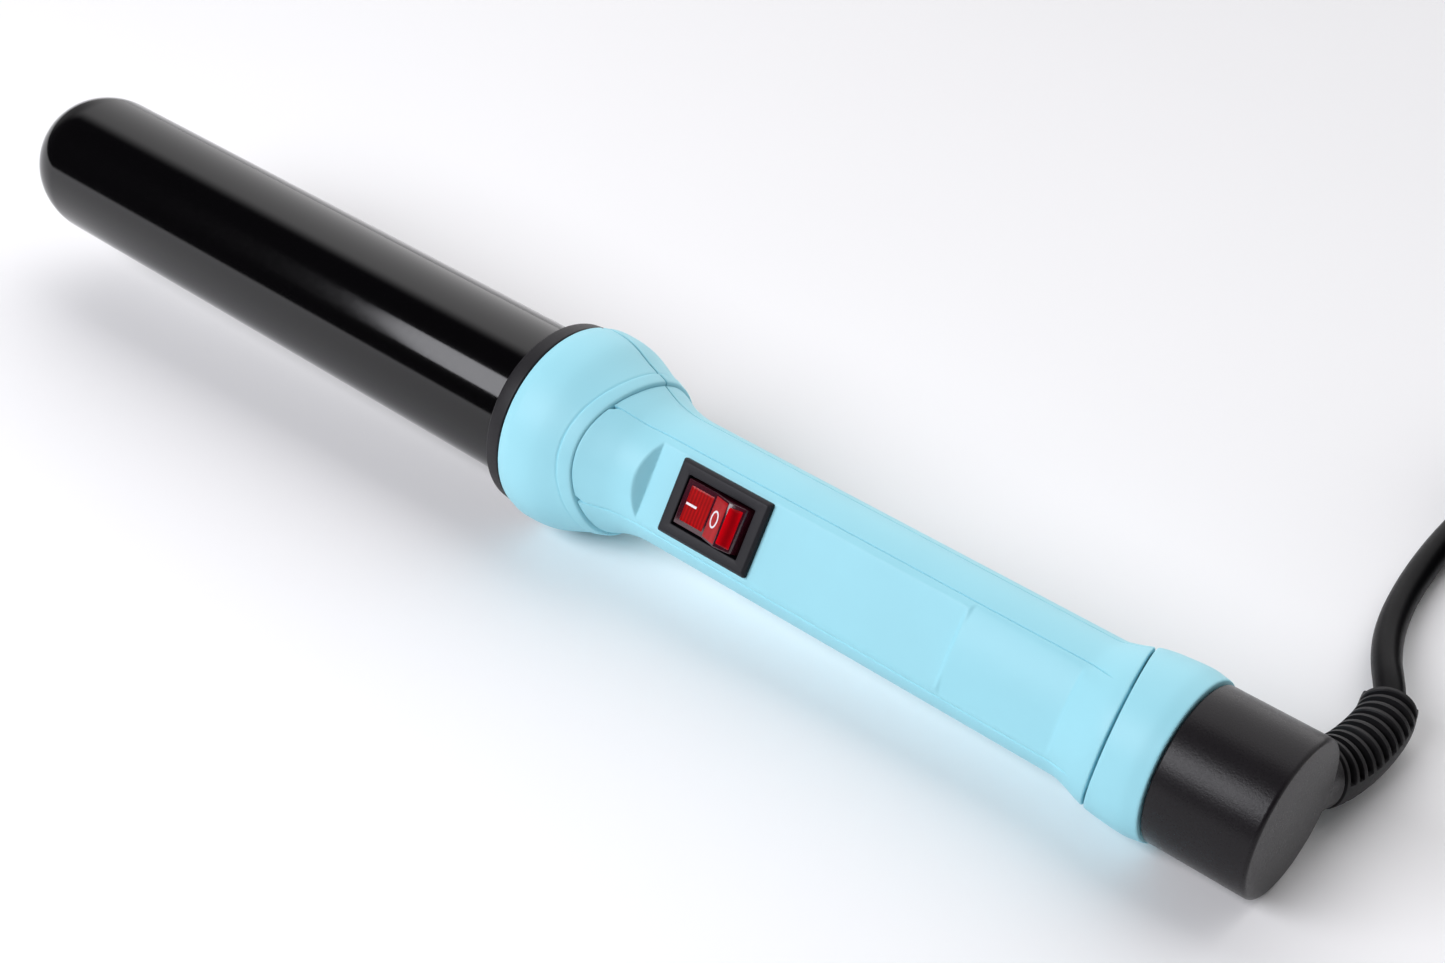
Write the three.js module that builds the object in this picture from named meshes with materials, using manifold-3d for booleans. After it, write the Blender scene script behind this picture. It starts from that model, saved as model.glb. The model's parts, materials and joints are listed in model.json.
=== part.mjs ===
// A clipless curling wand with a swivelling mains cord, lying on a table.
// Millimetres, +Z up. The wand lies along X with its tip towards -X and rests on its guard and rear ring.
// Inside the groups, x runs along the wand's axis from the tip at 0.
import * as THREE from "three";
import { mergeVertices } from "three/addons/utils/BufferGeometryUtils.js";
import Module from "manifold-3d";

const wasm = await Module();
wasm.setup();

const GAP = 0.3;
const ROUND = 36;
const SMALL = 12;
const DEGREE = Math.PI / 180;

// How the wand lies: the axis falls a little towards the cord, the switch faces the user.
const AXIS_FALL = 2.03 * DEGREE;
const PANEL_ROLL = 59 * DEGREE;
const CENTRE_X = 163.6;
const AXIS_HEIGHT = 26.33;

// Barrel and heater.
const BARREL_RADIUS = 16;
const BARREL_BORE = 14.8;
const BARREL_END = 169.4;
const BLOCK_START = 30;
const BLOCK_END = 150;

// Guard, grip and rear ring, along x.
const COLLAR_START = 161.3;
const GUARD_START = 165.7;
const GRIP_RADIUS = 12.85;
const PARTING_HEIGHT = 1.2;
const LIP_CENTRE = 184.9;
const LIP_SLOPE = -0.19;
const LIP_WIDTH = 2.7;
const LIP_RISE = 0.2;
const SEAM_CENTRE = 293.6;
const SEAM_SLOPE = 0.267;
const RING_END = 306.4;
const CLAMP_SCREW_CIRCLE = 17.35;

// Switch panel and its flat.
const PANEL_HALF_WIDTH = 8.95;
const FLAT_START = 195.4;
const FLAT_END = 264;
const FLAT_HEIGHT = 10.3;
const PANEL_UNDERSIDE = 8.6;
const SCREW_STATIONS = [234, 262];

// Rocker switch.
const SWITCH_X = 211.7;
const BEZEL = { length: 21.2, width: 14.7, height: 1.4 };
const SWITCH_BODY = { length: 18.8, width: 12.6, bottom: -2.5 };
const SWITCH_WELL = { length: 15.8, width: 9.8, bottom: -1 };
const ROCKER_PIVOT = 8.6;
const ROCKER_WIDTH = 8.8;
const ROCKER_TILT = -12 * DEGREE;
const LEVER_PIVOT = 1.2;
const LEVER_TILT = 6 * DEGREE;

// Swivel and cap.
const CAP_START = 306.7;
const CAP_END = 325.7;
const CAP_RADIUS = 14.5;
const SPINDLE_RADIUS = 5.2;
const SLIP_STATIONS = [276.2, 281.2];

// Mains cord.
const CORD_RADIUS = 2.8;
const COIL_CENTRE = [178, 140];
const COIL_TURN_RADIUS = 31;
const COIL_ROWS = 3;
const COIL_LAYERS = 4;
const TIE_THICKNESS = 0.8;

// The neck's and sleeve's middle line, from inside the cap to the sleeve's end.
const NECK_ROUTE = [
  [154.8, 3, 14],
  [155.3, 10, 11.2],
  [156.1, 16.5, 8.9],
  [157.4, 22, 7.2],
  [158.3, 28, 6.4],
  [158.6, 35.2, 6.1],
  [158.2, 40.6, 6.05],
  [156.95, 45.4, 6],
];
const NECK_FRACTION = 0.37;

// The cord's middle line on the table, from the sleeve to the coil.
const CORD_ROUTE = [
  [156.6, 46.1, 6],
  [155.3, 48.9, 5.98],
  [153.8, 51.5, 5.8],
  [150.6, 57.3, 5],
  [147.3, 65, 4.1],
  [145, 72.5, 3.5],
  [143.3, 80.5, 3.05],
  [142, 90.1, 2.9],
  [141.3, 99.6, 2.9],
  [141.2, 109, 3.15],
  [141.4, 117.2, 3.7],
];

// The cord's last stretch, down from the coil to the plug.
const TAIL_ROUTE = [
  [214.3, 117.2, 18.2],
  [213.8, 110, 14.8],
  [212.6, 102, 11],
  [211.1, 95, 8.4],
  [209.6, 88.5, 7.2],
];
const PLUG_AT = [209.4, 88, 6.95];
const PLUG_TURN = -101 * DEGREE;
const PLUG_WIDTH = 35.3;
const PLUG_THICKNESS = 13.7;
const PIN_SPACING = 18.6;

const AQUA = [0x8fdcec, 0.5, 0];
const BLACK_GLOSS = [0x0b0b0d, 0.15, 0];
const BLACK_MATTE = [0x1a1a1c, 0.7, 0];
const RED_CLEAR = [0xb01018, 0.2, 0];
const STEEL = [0xb8bbbf, 0.35, 1];
const ALUMINIUM = [0xc6c9cc, 0.45, 1];
const BRASS = [0xc9a45a, 0.35, 1];
const CERAMIC = [0xe9e4d8, 0.8, 0];
const WHITE_PLASTIC = [0xe8e6df, 0.6, 0];
const SILICONE = [0xd8d4c8, 0.75, 0];
const CORD_BLACK = [0x161617, 0.55, 0];

// Solids.

function solid(geometry) {
  const bare = geometry.clone();
  bare.deleteAttribute("normal");
  bare.deleteAttribute("uv");
  const merged = mergeVertices(bare, 1e-4);
  return new wasm.Manifold(
    new wasm.Mesh({
      numProp: 3,
      vertProperties: merged.attributes.position.array,
      triVerts: new Uint32Array(merged.index.array),
    }),
  );
}

function meshOf(name, body, [colour, roughness, metalness]) {
  const made = body.getMesh();
  const geometry = new THREE.BufferGeometry();
  geometry.setAttribute("position", new THREE.BufferAttribute(made.vertProperties, 3));
  geometry.setIndex(new THREE.BufferAttribute(made.triVerts, 1));
  geometry.computeVertexNormals();
  const mesh = new THREE.Mesh(
    geometry,
    new THREE.MeshStandardMaterial({ color: colour, roughness, metalness }),
  );
  mesh.name = name;
  return mesh;
}

// A box from its lowest to its highest corner.
function box([x0, y0, z0], [x1, y1, z1]) {
  const geometry = new THREE.BoxGeometry(x1 - x0, y1 - y0, z1 - z0);
  return solid(geometry.translate((x0 + x1) / 2, (y0 + y1) / 2, (z0 + z1) / 2));
}

// A solid turned about the x axis. The outline lists [x, radius], forwards along the inside and back outside.
function turned(outline, segments = ROUND) {
  const points = outline.map(([x, radius]) => new THREE.Vector2(radius, x));
  return solid(new THREE.LatheGeometry(points, segments).rotateZ(-Math.PI / 2));
}

function ring(x0, x1, inner, outer, segments = ROUND) {
  return turned([[x0, inner], [x0, outer], [x1, outer], [x1, inner], [x0, inner]], segments);
}

function disc(x0, x1, radius, segments = ROUND) {
  return turned([[x0, 0], [x0, radius], [x1, radius], [x1, 0]], segments);
}

// A rod along x, y or z through a point.
function rod(axis, from, to, radius, [a, b], segments = SMALL) {
  const geometry = new THREE.CylinderGeometry(radius, radius, to - from, segments);
  const middle = (from + to) / 2;
  if (axis === "x") return solid(geometry.rotateZ(Math.PI / 2).translate(middle, a, b));
  if (axis === "y") return solid(geometry.translate(a, middle, b));
  return solid(geometry.rotateX(Math.PI / 2).translate(a, b, middle));
}

// Everything before (or behind) the slanted plane x = centre + slope * z.
function slantedHalf(centre, slope, behind) {
  const geometry = new THREE.BoxGeometry(400, 100, 100);
  const shift = behind ? 200 : -200;
  const position = geometry.translate(shift, 0, 0).attributes.position;
  for (let i = 0; i < position.count; i++) {
    position.setX(i, position.getX(i) + centre + slope * position.getZ(i));
  }
  return solid(geometry);
}

// A plate cut to an outline in x and z, spread evenly to both sides of y = 0.
function sidePlate(outline, width) {
  const shape = new THREE.Shape(outline.map(([x, z]) => new THREE.Vector2(x, z)));
  const geometry = new THREE.ExtrudeGeometry(shape, { depth: width, bevelEnabled: false });
  return solid(geometry.rotateX(Math.PI / 2).translate(0, width / 2, 0));
}

function curveOf(route) {
  const points = route.map((point) => new THREE.Vector3(...point));
  return new THREE.CatmullRomCurve3(points, false, "centripetal");
}

// A round bar bent along a stretch of a curve, its radius given along the way.
function bentBar(curve, [start, end], radiusAt, sides, steps) {
  const geometry = new THREE.CylinderGeometry(1, 1, 1, sides, steps);
  const up = new THREE.Vector3(0, 0, 1);
  const position = geometry.attributes.position;
  const point = new THREE.Vector3();
  for (let i = 0; i < position.count; i++) {
    point.fromBufferAttribute(position, i);
    const along = Math.round((point.y + 0.5) * steps) / steps;
    const fraction = start + (end - start) * along;
    const reach = radiusAt(fraction);
    const place = curve.getPointAt(fraction);
    const across = new THREE.Vector3().crossVectors(curve.getTangentAt(fraction), up).normalize();
    const over = new THREE.Vector3().crossVectors(across, curve.getTangentAt(fraction));
    place.addScaledVector(over, point.z * reach);
    place.addScaledVector(across, point.x * reach);
    position.setXYZ(i, place.x, place.y, place.z);
  }
  return solid(geometry);
}

function tube(route, radius, sides, steps) {
  const shape = new THREE.Shape();
  for (let i = 0; i < sides; i++) {
    const angle = (2 * Math.PI * i) / sides;
    const corner = [radius * Math.cos(angle), radius * Math.sin(angle)];
    if (i === 0) shape.moveTo(...corner);
    else shape.lineTo(...corner);
  }
  return solid(new THREE.ExtrudeGeometry(shape, { steps, extrudePath: curveOf(route) }));
}

function spread(points, count) {
  return new THREE.SplineCurve(points.map((p) => new THREE.Vector2(...p)))
    .getPoints(count)
    .map((p) => [p.x, p.y]);
}

// Outlines of the handle, as [x, radius].

const domeLine = spread(
  [[GUARD_START, 19.75], [168.3, 20.35], [173.7, 19.9], [179.7, 17.7], [184.6, 15.95], [190, 14]],
  10,
);
const neckLine = spread([[178, 17.4], [181, 16.55], [185.7, 14.85], [191, 13.3], [196, GRIP_RADIUS]], 6);
const flareLine = spread(
  [[287, GRIP_RADIUS], [290.4, 13.2], [294.4, 14.65], [299, 15.3], [303, 15.55], [RING_END, 15.1]],
  9,
);
const cavityLine = [
  [167.7, 0],
  [167.7, 18.9],
  [173.4, 18.7],
  [179, 15.4],
  [184, 13],
  [189, 11.6],
  [195, 10.85],
  [290, 10.85],
  [296, 12.6],
  [312, 12.6],
  [312, 0],
];

const guardDome = turned([[GUARD_START, 0], ...domeLine, [190, 0]]);
const neckAndGrip = turned([[178, 0], ...neckLine, ...flareLine, [RING_END, 0]]);
const cavity = turned(cavityLine);

function clampScrewPlaces() {
  return [0, 120, 240].map((turn) => [
    CLAMP_SCREW_CIRCLE * Math.sin(turn * DEGREE),
    CLAMP_SCREW_CIRCLE * Math.cos(turn * DEGREE),
  ]);
}

// The whole outside of the guard, neck and grip, before it is parted into shells, panel and ring.
function handleSkin() {
  const raisedLine = domeLine.map(([x, radius]) => [x, radius + LIP_RISE]);
  const lip = turned([[GUARD_START, 0], ...raisedLine, [190, 0]])
    .intersect(slantedHalf(LIP_CENTRE - LIP_WIDTH, LIP_SLOPE, true))
    .intersect(slantedHalf(LIP_CENTRE, LIP_SLOPE, false));
  return guardDome
    .intersect(slantedHalf(LIP_CENTRE, LIP_SLOPE, false))
    .add(lip)
    .add(neckAndGrip);
}

// Opening for the switch panel, between the lip and the slanted seam.
function panelOpening(clearance) {
  const half = PANEL_HALF_WIDTH + clearance;
  return box([170, -half, 6.2 - clearance], [310, half, 30])
    .intersect(slantedHalf(LIP_CENTRE - clearance, LIP_SLOPE, true))
    .intersect(slantedHalf(SEAM_CENTRE + clearance, SEAM_SLOPE, false));
}

function shellBlank() {
  let shell = handleSkin()
    .subtract(cavity)
    .subtract(disc(GUARD_START - 1, 168, BARREL_RADIUS + 0.25))
    .intersect(slantedHalf(SEAM_CENTRE - GAP / 2, SEAM_SLOPE, false));
  for (const place of clampScrewPlaces()) {
    shell = shell.subtract(rod("x", GUARD_START - 1, 168.5, 0.95, place, 12));
  }
  return shell;
}

function upperShell() {
  const above = box([100, -40, PARTING_HEIGHT + GAP / 2], [400, 40, 60]);
  return meshOf("upper_shell", shellBlank().intersect(above).subtract(panelOpening(0)), AQUA);
}

function lowerShell() {
  const below = box([100, -40, -60], [400, 40, PARTING_HEIGHT - GAP / 2]);
  let shell = shellBlank().intersect(below);
  for (const x of SCREW_STATIONS) {
    shell = shell
      .add(rod("z", -11.6, 0.4, 2.9, [x, 0]))
      .subtract(rod("z", -14, -10.6, 2.5, [x, 0]))
      .subtract(rod("z", -12, 1, 1.4, [x, 0]));
  }
  return meshOf("lower_shell", shell, AQUA);
}

function switchPanel() {
  const rise = 4;
  const wall = 3;
  const recess = sidePlate(
    [
      [FLAT_START, FLAT_HEIGHT],
      [FLAT_END, FLAT_HEIGHT],
      [FLAT_END + 0.6, FLAT_HEIGHT + 0.7],
      [285, FLAT_HEIGHT + 1.1],
      [289, FLAT_HEIGHT + rise],
      [FLAT_START - wall, FLAT_HEIGHT + rise],
    ],
    40,
  );
  const pocket = box(
    [SWITCH_X - BEZEL.length / 2 - 0.15, -BEZEL.width / 2 - 0.15, FLAT_HEIGHT - GAP],
    [SWITCH_X + BEZEL.length / 2 + 0.15, BEZEL.width / 2 + 0.15, 20],
  );
  const window = box(
    [SWITCH_X - SWITCH_BODY.length / 2 - GAP, -SWITCH_BODY.width / 2 - GAP, 0],
    [SWITCH_X + SWITCH_BODY.length / 2 + GAP, SWITCH_BODY.width / 2 + GAP, 20],
  );
  let panel = neckAndGrip
    .intersect(panelOpening(-GAP))
    .subtract(cavity.intersect(box([160, -20, 0], [196, 20, 20])))
    .subtract(box([190, -7, 0], [310, 7, PANEL_UNDERSIDE]))
    .subtract(recess)
    .subtract(pocket)
    .subtract(window);
  for (const x of SCREW_STATIONS) {
    panel = panel
      .add(rod("z", 0.8, PANEL_UNDERSIDE + 0.5, 2.6, [x, 0]))
      .subtract(rod("z", 0, 4.5, 1.4, [x, 0]));
  }
  return meshOf("switch_panel", panel, AQUA);
}

function rearRing() {
  const body = neckAndGrip
    .intersect(slantedHalf(SEAM_CENTRE + GAP / 2, SEAM_SLOPE, true))
    .subtract(disc(280, 300, 12.6))
    .subtract(disc(299, 304, SPINDLE_RADIUS + 0.4))
    .subtract(disc(303, 310, 12.7));
  return meshOf("rear_ring", body, AQUA);
}

function shellScrews() {
  return SCREW_STATIONS.map((x, i) => {
    const screw = rod("z", -12.2, -10.9, 2.1, [x, 0], 16).add(rod("z", -11, 3.6, 1.1, [x, 0]));
    return meshOf("shell_screw_" + (i + 1), screw, STEEL);
  });
}

// Barrel end.

function barrelTube() {
  const tip = [];
  const hollow = [];
  const arc = 8;
  for (let i = 0; i <= arc; i++) {
    const angle = ((i / arc) * Math.PI) / 2;
    tip.push([BARREL_RADIUS - BARREL_RADIUS * Math.cos(angle), BARREL_RADIUS * Math.sin(angle)]);
    hollow.unshift([BARREL_RADIUS - BARREL_BORE * Math.cos(angle), BARREL_BORE * Math.sin(angle)]);
  }
  const rim = [[168, BARREL_RADIUS], [168, 16.9], [BARREL_END, 16.9], [BARREL_END, BARREL_BORE]];
  let body = turned([...tip, ...rim, ...hollow]);
  for (const place of clampScrewPlaces()) {
    body = body.subtract(rod("x", 167.8, BARREL_END + 1, 1.05, place, 12));
  }
  return meshOf("barrel_tube", body, BLACK_GLOSS);
}

function heatCollar() {
  const end = GUARD_START - GAP;
  let body = turned([
    [COLLAR_START, BARREL_RADIUS + 0.15],
    [COLLAR_START, 18.2],
    [COLLAR_START + 0.5, 18.8],
    [COLLAR_START + 1.5, 19.2],
    [end, 19.5],
    [end, BARREL_RADIUS + 0.15],
    [COLLAR_START, BARREL_RADIUS + 0.15],
  ]);
  for (const place of clampScrewPlaces()) {
    body = body.subtract(rod("x", 162.8, 166, 0.95, place, 12));
  }
  return meshOf("heat_collar", body, BLACK_MATTE);
}

function barrelClamp() {
  let body = ring(BARREL_END + GAP, BARREL_END + 1.8, 13.8, 18.5);
  for (const place of clampScrewPlaces()) {
    body = body.subtract(rod("x", BARREL_END - 1, BARREL_END + 3, 0.95, place, 12));
  }
  return meshOf("barrel_clamp", body, STEEL);
}

function barrelScrews() {
  return clampScrewPlaces().map((place, i) => {
    const head = rod("x", BARREL_END + 2.1, BARREL_END + 3.2, 1.15, place, 12);
    const shank = rod("x", 163.2, BARREL_END + 2.2, 0.65, place, 12);
    return meshOf("barrel_screw_" + (i + 1), head.add(shank), STEEL);
  });
}

// A plate of the given outline in y and z, extruded along x.
function alongX(shape, from, to, curveSegments) {
  const settings = { depth: to - from, bevelEnabled: false, curveSegments };
  const geometry = new THREE.ExtrudeGeometry(shape, settings).translate(0, 0, from);
  const turn = new THREE.Matrix4().makeBasis(
    new THREE.Vector3(0, 1, 0),
    new THREE.Vector3(0, 0, 1),
    new THREE.Vector3(1, 0, 0),
  );
  return geometry.applyMatrix4(turn);
}

// Half of the heat spreader: a half-round skin with a flat plate across it.
function heatBlock(name, roll) {
  const shape = new THREE.Shape();
  shape.absarc(0, 0, 14.3, 0.1, Math.PI - 0.1, false);
  const hollow = new THREE.Path();
  hollow.absarc(0, 0, 12.6, 0.28, Math.PI - 0.28, false);
  shape.holes.push(hollow);
  const geometry = alongX(shape, BLOCK_START, BLOCK_END, 14).rotateX(roll);
  return meshOf(name, solid(geometry), ALUMINIUM);
}

function heaterParts() {
  const plate = box([36, -7, -1], [147.7, 7, 1]);
  const bow = (side) => {
    const start = 60;
    const end = 120;
    const outline = [];
    const steps = 8;
    for (let i = 0; i <= steps; i++) {
      const along = i / steps;
      outline.push([start + (end - start) * along, -1 + 1.5 * Math.sin(Math.PI * along)]);
    }
    for (let i = steps; i >= 0; i--) {
      const along = i / steps;
      outline.push([start + (end - start) * along, -0.6 + 1.5 * Math.sin(Math.PI * along)]);
    }
    return sidePlate(outline, 3).translate([0, side * 10, 0]);
  };
  const plug = disc(153, 161, 14.4)
    .subtract(rod("x", 150, 165, 1.6, [4, 0]))
    .subtract(rod("x", 150, 165, 1.6, [-4, 0]));
  return [
    heatBlock("heat_block_upper", 0),
    heatBlock("heat_block_lower", Math.PI),
    meshOf("heater_plate", plate, CERAMIC),
    meshOf("block_spring_1", bow(1), STEEL),
    meshOf("block_spring_2", bow(-1), STEEL),
    meshOf("barrel_plug", plug, CERAMIC),
    meshOf("heat_shield", ring(176, 176.8, 6.5, 16), CERAMIC),
  ];
}

function wiring() {
  const toSwitch = [
    [148, -4, 0],
    [176, -4, 0],
    [188, -4.3, -3],
    [198, -4.5, -6.6],
    [208, -4.6, -7.2],
    [213.4, -3.8, -7],
    [217.2, -1.5, -6.8],
  ];
  const toFuse = [[148, 4, 0], [160, 4, 0], [176, 4, 0], [183.7, 4, -1.6]];
  const fromFuse = [
    [193.9, 4, -2],
    [199, 6, -4],
    [206, 7.7, -4.4],
    [240, 7.7, -4.4],
    [262, 7.4, -4.4],
    [268, 5.6, -7],
    [273.3, 3, -8.3],
  ];
  const fromSwitch = [
    [211.7, 2.9, -6.6],
    [212.1, 4.4, -7],
    [215, 4.9, -7.3],
    [240, 4.9, -7.6],
    [262, 4.6, -7.8],
    [268, 0, -8.8],
    [273.2, -3, -8.5],
  ];
  const fuse = rod("x", 184.2, 193.2, 1.9, [4, -1.9]);
  return [
    meshOf("heater_lead_1", tube(toSwitch, 1, 6, 18), SILICONE),
    meshOf("heater_lead_2", tube(toFuse, 1, 6, 6), SILICONE),
    meshOf("thermal_fuse", fuse, WHITE_PLASTIC),
    meshOf("fuse_lead", tube(fromFuse, 1, 6, 18), SILICONE),
    meshOf("switch_lead", tube(fromSwitch, 1, 6, 22), SILICONE),
  ];
}

// Switch.

function switchHousing() {
  const half = SWITCH_BODY.length / 2;
  const wide = SWITCH_BODY.width / 2;
  const top = FLAT_HEIGHT + BEZEL.height;
  const flange = [BEZEL.length / 2, BEZEL.width / 2];
  let body = box([-half, -wide, SWITCH_BODY.bottom], [half, wide, FLAT_HEIGHT])
    .add(box([-flange[0], -flange[1], FLAT_HEIGHT], [...flange, top]))
    .subtract(
      box(
        [-SWITCH_WELL.length / 2, -SWITCH_WELL.width / 2, SWITCH_WELL.bottom],
        [SWITCH_WELL.length / 2, SWITCH_WELL.width / 2, 20],
      ),
    )
    .subtract(rod("y", -wide - 1, wide + 1, 1.2, [0, ROCKER_PIVOT]));
  for (const x of [-6.4, 0, 6.4]) {
    body = body.subtract(box([x - 0.7, -2.7, -3], [x + 0.7, 2.7, 0]));
  }
  return meshOf("switch_housing", body.translate([SWITCH_X, 0, 0]), BLACK_MATTE);
}

// The rocker about its own pivot, level between its two positions: one flat facet and one with a ridge.
function rockerSolid() {
  const reach = 7.5;
  const end = [];
  for (const angle of [-8, 2, 12, 19]) {
    end.push([reach * Math.cos(angle * DEGREE), reach * Math.sin(angle * DEGREE)]);
  }
  const right = [[1.9, -4.5], [1.9, -2.4], ...end, [4.44, 4.06]];
  const left = [[-6.8, 4.5], ...end.map(([x, z]) => [-x, z]).reverse(), [-1.9, -2.4], [-1.9, -4.5]];
  return sidePlate([...right, [0, 3.2], ...left], ROCKER_WIDTH)
    .add(rod("y", -5.7, 5.7, 0.9, [0, 0]))
    .subtract(rod("z", -5, -1.2, 1.2, [0, 0]));
}

function rockerPieces() {
  const group = new THREE.Group();
  const spring = tube(
    Array.from({ length: 25 }, (_, i) => {
      const angle = (i / 8) * 2 * Math.PI;
      return [0.75 * Math.cos(angle), 0.75 * Math.sin(angle), -1.6 - (i / 24) * 2.4];
    }),
    0.15,
    5,
    24,
  );
  const plunger = rod("z", -6.4, -4.3, 0.85, [0, 0], 12);
  group.add(meshOf("rocker", rockerSolid(), RED_CLEAR));
  group.add(meshOf("rocker_spring", spring, STEEL));
  group.add(meshOf("rocker_plunger", plunger, WHITE_PLASTIC));
  group.position.set(SWITCH_X, 0, ROCKER_PIVOT);
  group.rotation.y = ROCKER_TILT;
  return group;
}

function contactLever() {
  const group = new THREE.Group();
  const lever = box([-5, -1.5, -0.3], [5, 1.5, 0.3]).add(rod("z", -0.7, 0, 0.9, [4.6, 0], 12));
  group.add(meshOf("contact_lever", lever, BRASS));
  group.position.set(SWITCH_X, 0, LEVER_PIVOT);
  group.rotation.y = LEVER_TILT;
  return group;
}

function terminals() {
  const names = ["terminal_lamp", "terminal_common", "terminal_out"];
  const tops = [-0.6, 0.5, -0.6];
  return [-6.4, 0, 6.4].map((x, i) => {
    const blade = box([SWITCH_X + x - 0.4, -2.4, -8], [SWITCH_X + x + 0.4, 2.4, tops[i]]);
    return meshOf(names[i], blade, BRASS);
  });
}

function neonLamp() {
  return meshOf("neon_lamp", rod("y", -3, 3, 1.1, [SWITCH_X - 6.3, 3.6], 16), RED_CLEAR);
}

// Swivel.

function brushes() {
  const holder = box([273.9, -4.5, -9.3], [285, 4.5, -8]);
  const strips = SLIP_STATIONS.map((x, i) => {
    const strip = box([x - 1, -3, -7.7], [x + 1, 3, -7]);
    return meshOf("brush_" + (i + 1), strip, BRASS);
  });
  return [meshOf("brush_holder", holder, WHITE_PLASTIC), ...strips];
}

function drilled(body, places, from, to, radius) {
  return places.reduce((left, place) => left.subtract(rod("x", from, to, radius, place, 12)), body);
}

function swivelCore() {
  const screwPlaces = [[7.2, 0], [-7.2, 0]];
  const clampPlaces = [[7, 4.4], [7, -6.4]];
  const spindle = turned(
    [
      [272, 3.2],
      [272, SPINDLE_RADIUS],
      [307.9, SPINDLE_RADIUS],
      [307.9, 9.2],
      [310, 9.2],
      [310, 3.2],
      [272, 3.2],
    ],
    32,
  );
  const disk = disc(310.4, 312.4, 12).subtract(disc(310, 313, 3.4, 24));
  const plate = drilled(drilled(disk, screwPlaces, 310, 313, 1.1), clampPlaces, 310, 313, 0.95);
  const clamp = drilled(box([312.8, 4.2, -7.9], [314.5, 9.2, 6]), clampPlaces, 312, 317, 0.95);
  const screws = screwPlaces.map((place, i) => {
    const screw = rod("x", 306.3, 307.6, 1.6, place).add(rod("x", 307.5, 312.2, 0.8, place, 12));
    return meshOf("cap_screw_" + (i + 1), screw, STEEL);
  });
  const clampScrews = clampPlaces.map((place, i) => {
    const screw = rod("x", 314.8, 315.8, 1.3, place).add(rod("x", 310.8, 315, 0.65, place));
    return meshOf("clamp_screw_" + (i + 1), screw, STEEL);
  });
  const slipRings = SLIP_STATIONS.map((x, i) =>
    meshOf("slip_ring_" + (i + 1), ring(x - 1.2, x + 1.2, SPINDLE_RADIUS + GAP, 6.6, 32), BRASS),
  );
  const slot = box([290, -1.2, 0], [310, 1.2, 12]);
  const clip = ring(298.4, 299.6, SPINDLE_RADIUS + GAP, 8, 32).subtract(slot);
  return [
    meshOf("swivel_spindle", drilled(spindle, screwPlaces, 307, 311, 1.1), WHITE_PLASTIC),
    meshOf("cap_plate", plate, WHITE_PLASTIC),
    meshOf("retaining_clip", clip, STEEL),
    meshOf("cord_clamp", clamp, WHITE_PLASTIC),
    ...slipRings,
    ...screws,
    ...clampScrews,
  ];
}

function cordCores() {
  return [1, -1].map((side, i) => {
    const route = [
      [317.9, 2.1, 0.95 * side - 0.9],
      [317, 1, 0.95 * side - 0.4],
      [314.6, 0.1, 0.95 * side],
      [311, 0, 0.95 * side],
      [300, 0, 0.95 * side],
      [276.2, 0, 0.95 * side],
    ];
    return meshOf("cord_core_" + (i + 1), tube(route, 0.65, 6, 12), SILICONE);
  });
}

// The cap with its side neck, in the table's frame.
function swivelCap(place, neckCurve) {
  const spigot = 12.3;
  const wall = 1.6;
  const cup = turned([
    [CAP_START - 3.1, 0],
    [CAP_START - 3.1, spigot],
    [CAP_START, spigot],
    [CAP_START, CAP_RADIUS],
    [CAP_END - 1, CAP_RADIUS],
    [CAP_END - 0.3, CAP_RADIUS - 0.3],
    [CAP_END, CAP_RADIUS - 1],
    [CAP_END, 0],
  ]);
  const chamber = turned([
    [CAP_START - 4, 0],
    [CAP_START - 4, 10.9],
    [CAP_START, 10.9],
    [CAP_START + 1, CAP_RADIUS - 2.1],
    [CAP_END - wall, CAP_RADIUS - 2.1],
    [CAP_END - wall, 0],
  ]);
  const neck = bentBar(neckCurve, [0, NECK_FRACTION], (u) => 7 - 3.2 * u, 24, 6);
  const bore = bentBar(neckCurve, [0, NECK_FRACTION + 0.1], () => 4.7, 16, 6);
  return cup
    .transform(place.elements)
    .add(neck)
    .subtract(chamber.transform(place.elements))
    .subtract(bore);
}

// The flexible sleeve on the neck: a plain root inside it and a ringed taper outside.
function strainRelief(neckCurve) {
  const ringPitch = 0.06;
  const start = NECK_FRACTION + 0.01;
  const rings = 11;
  const taper = (u) => 5.9 - 0.85 * ((u - start) / (1 - start));
  const steps = rings * 4;
  const ringed = (u) => {
    const phase = Math.round(((u - start) / (1 - start)) * steps) % 4;
    return phase === 1 || phase === 2 ? taper(u) - 0.9 : taper(u);
  };
  const outside = bentBar(neckCurve, [start, 1], ringed, 12, steps);
  const root = bentBar(neckCurve, [0.2, start + ringPitch], () => 4.35, 12, 6);
  const bore = bentBar(neckCurve, [0, 1], () => CORD_RADIUS + GAP, 12, 12);
  return outside.add(root).subtract(bore);
}

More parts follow.
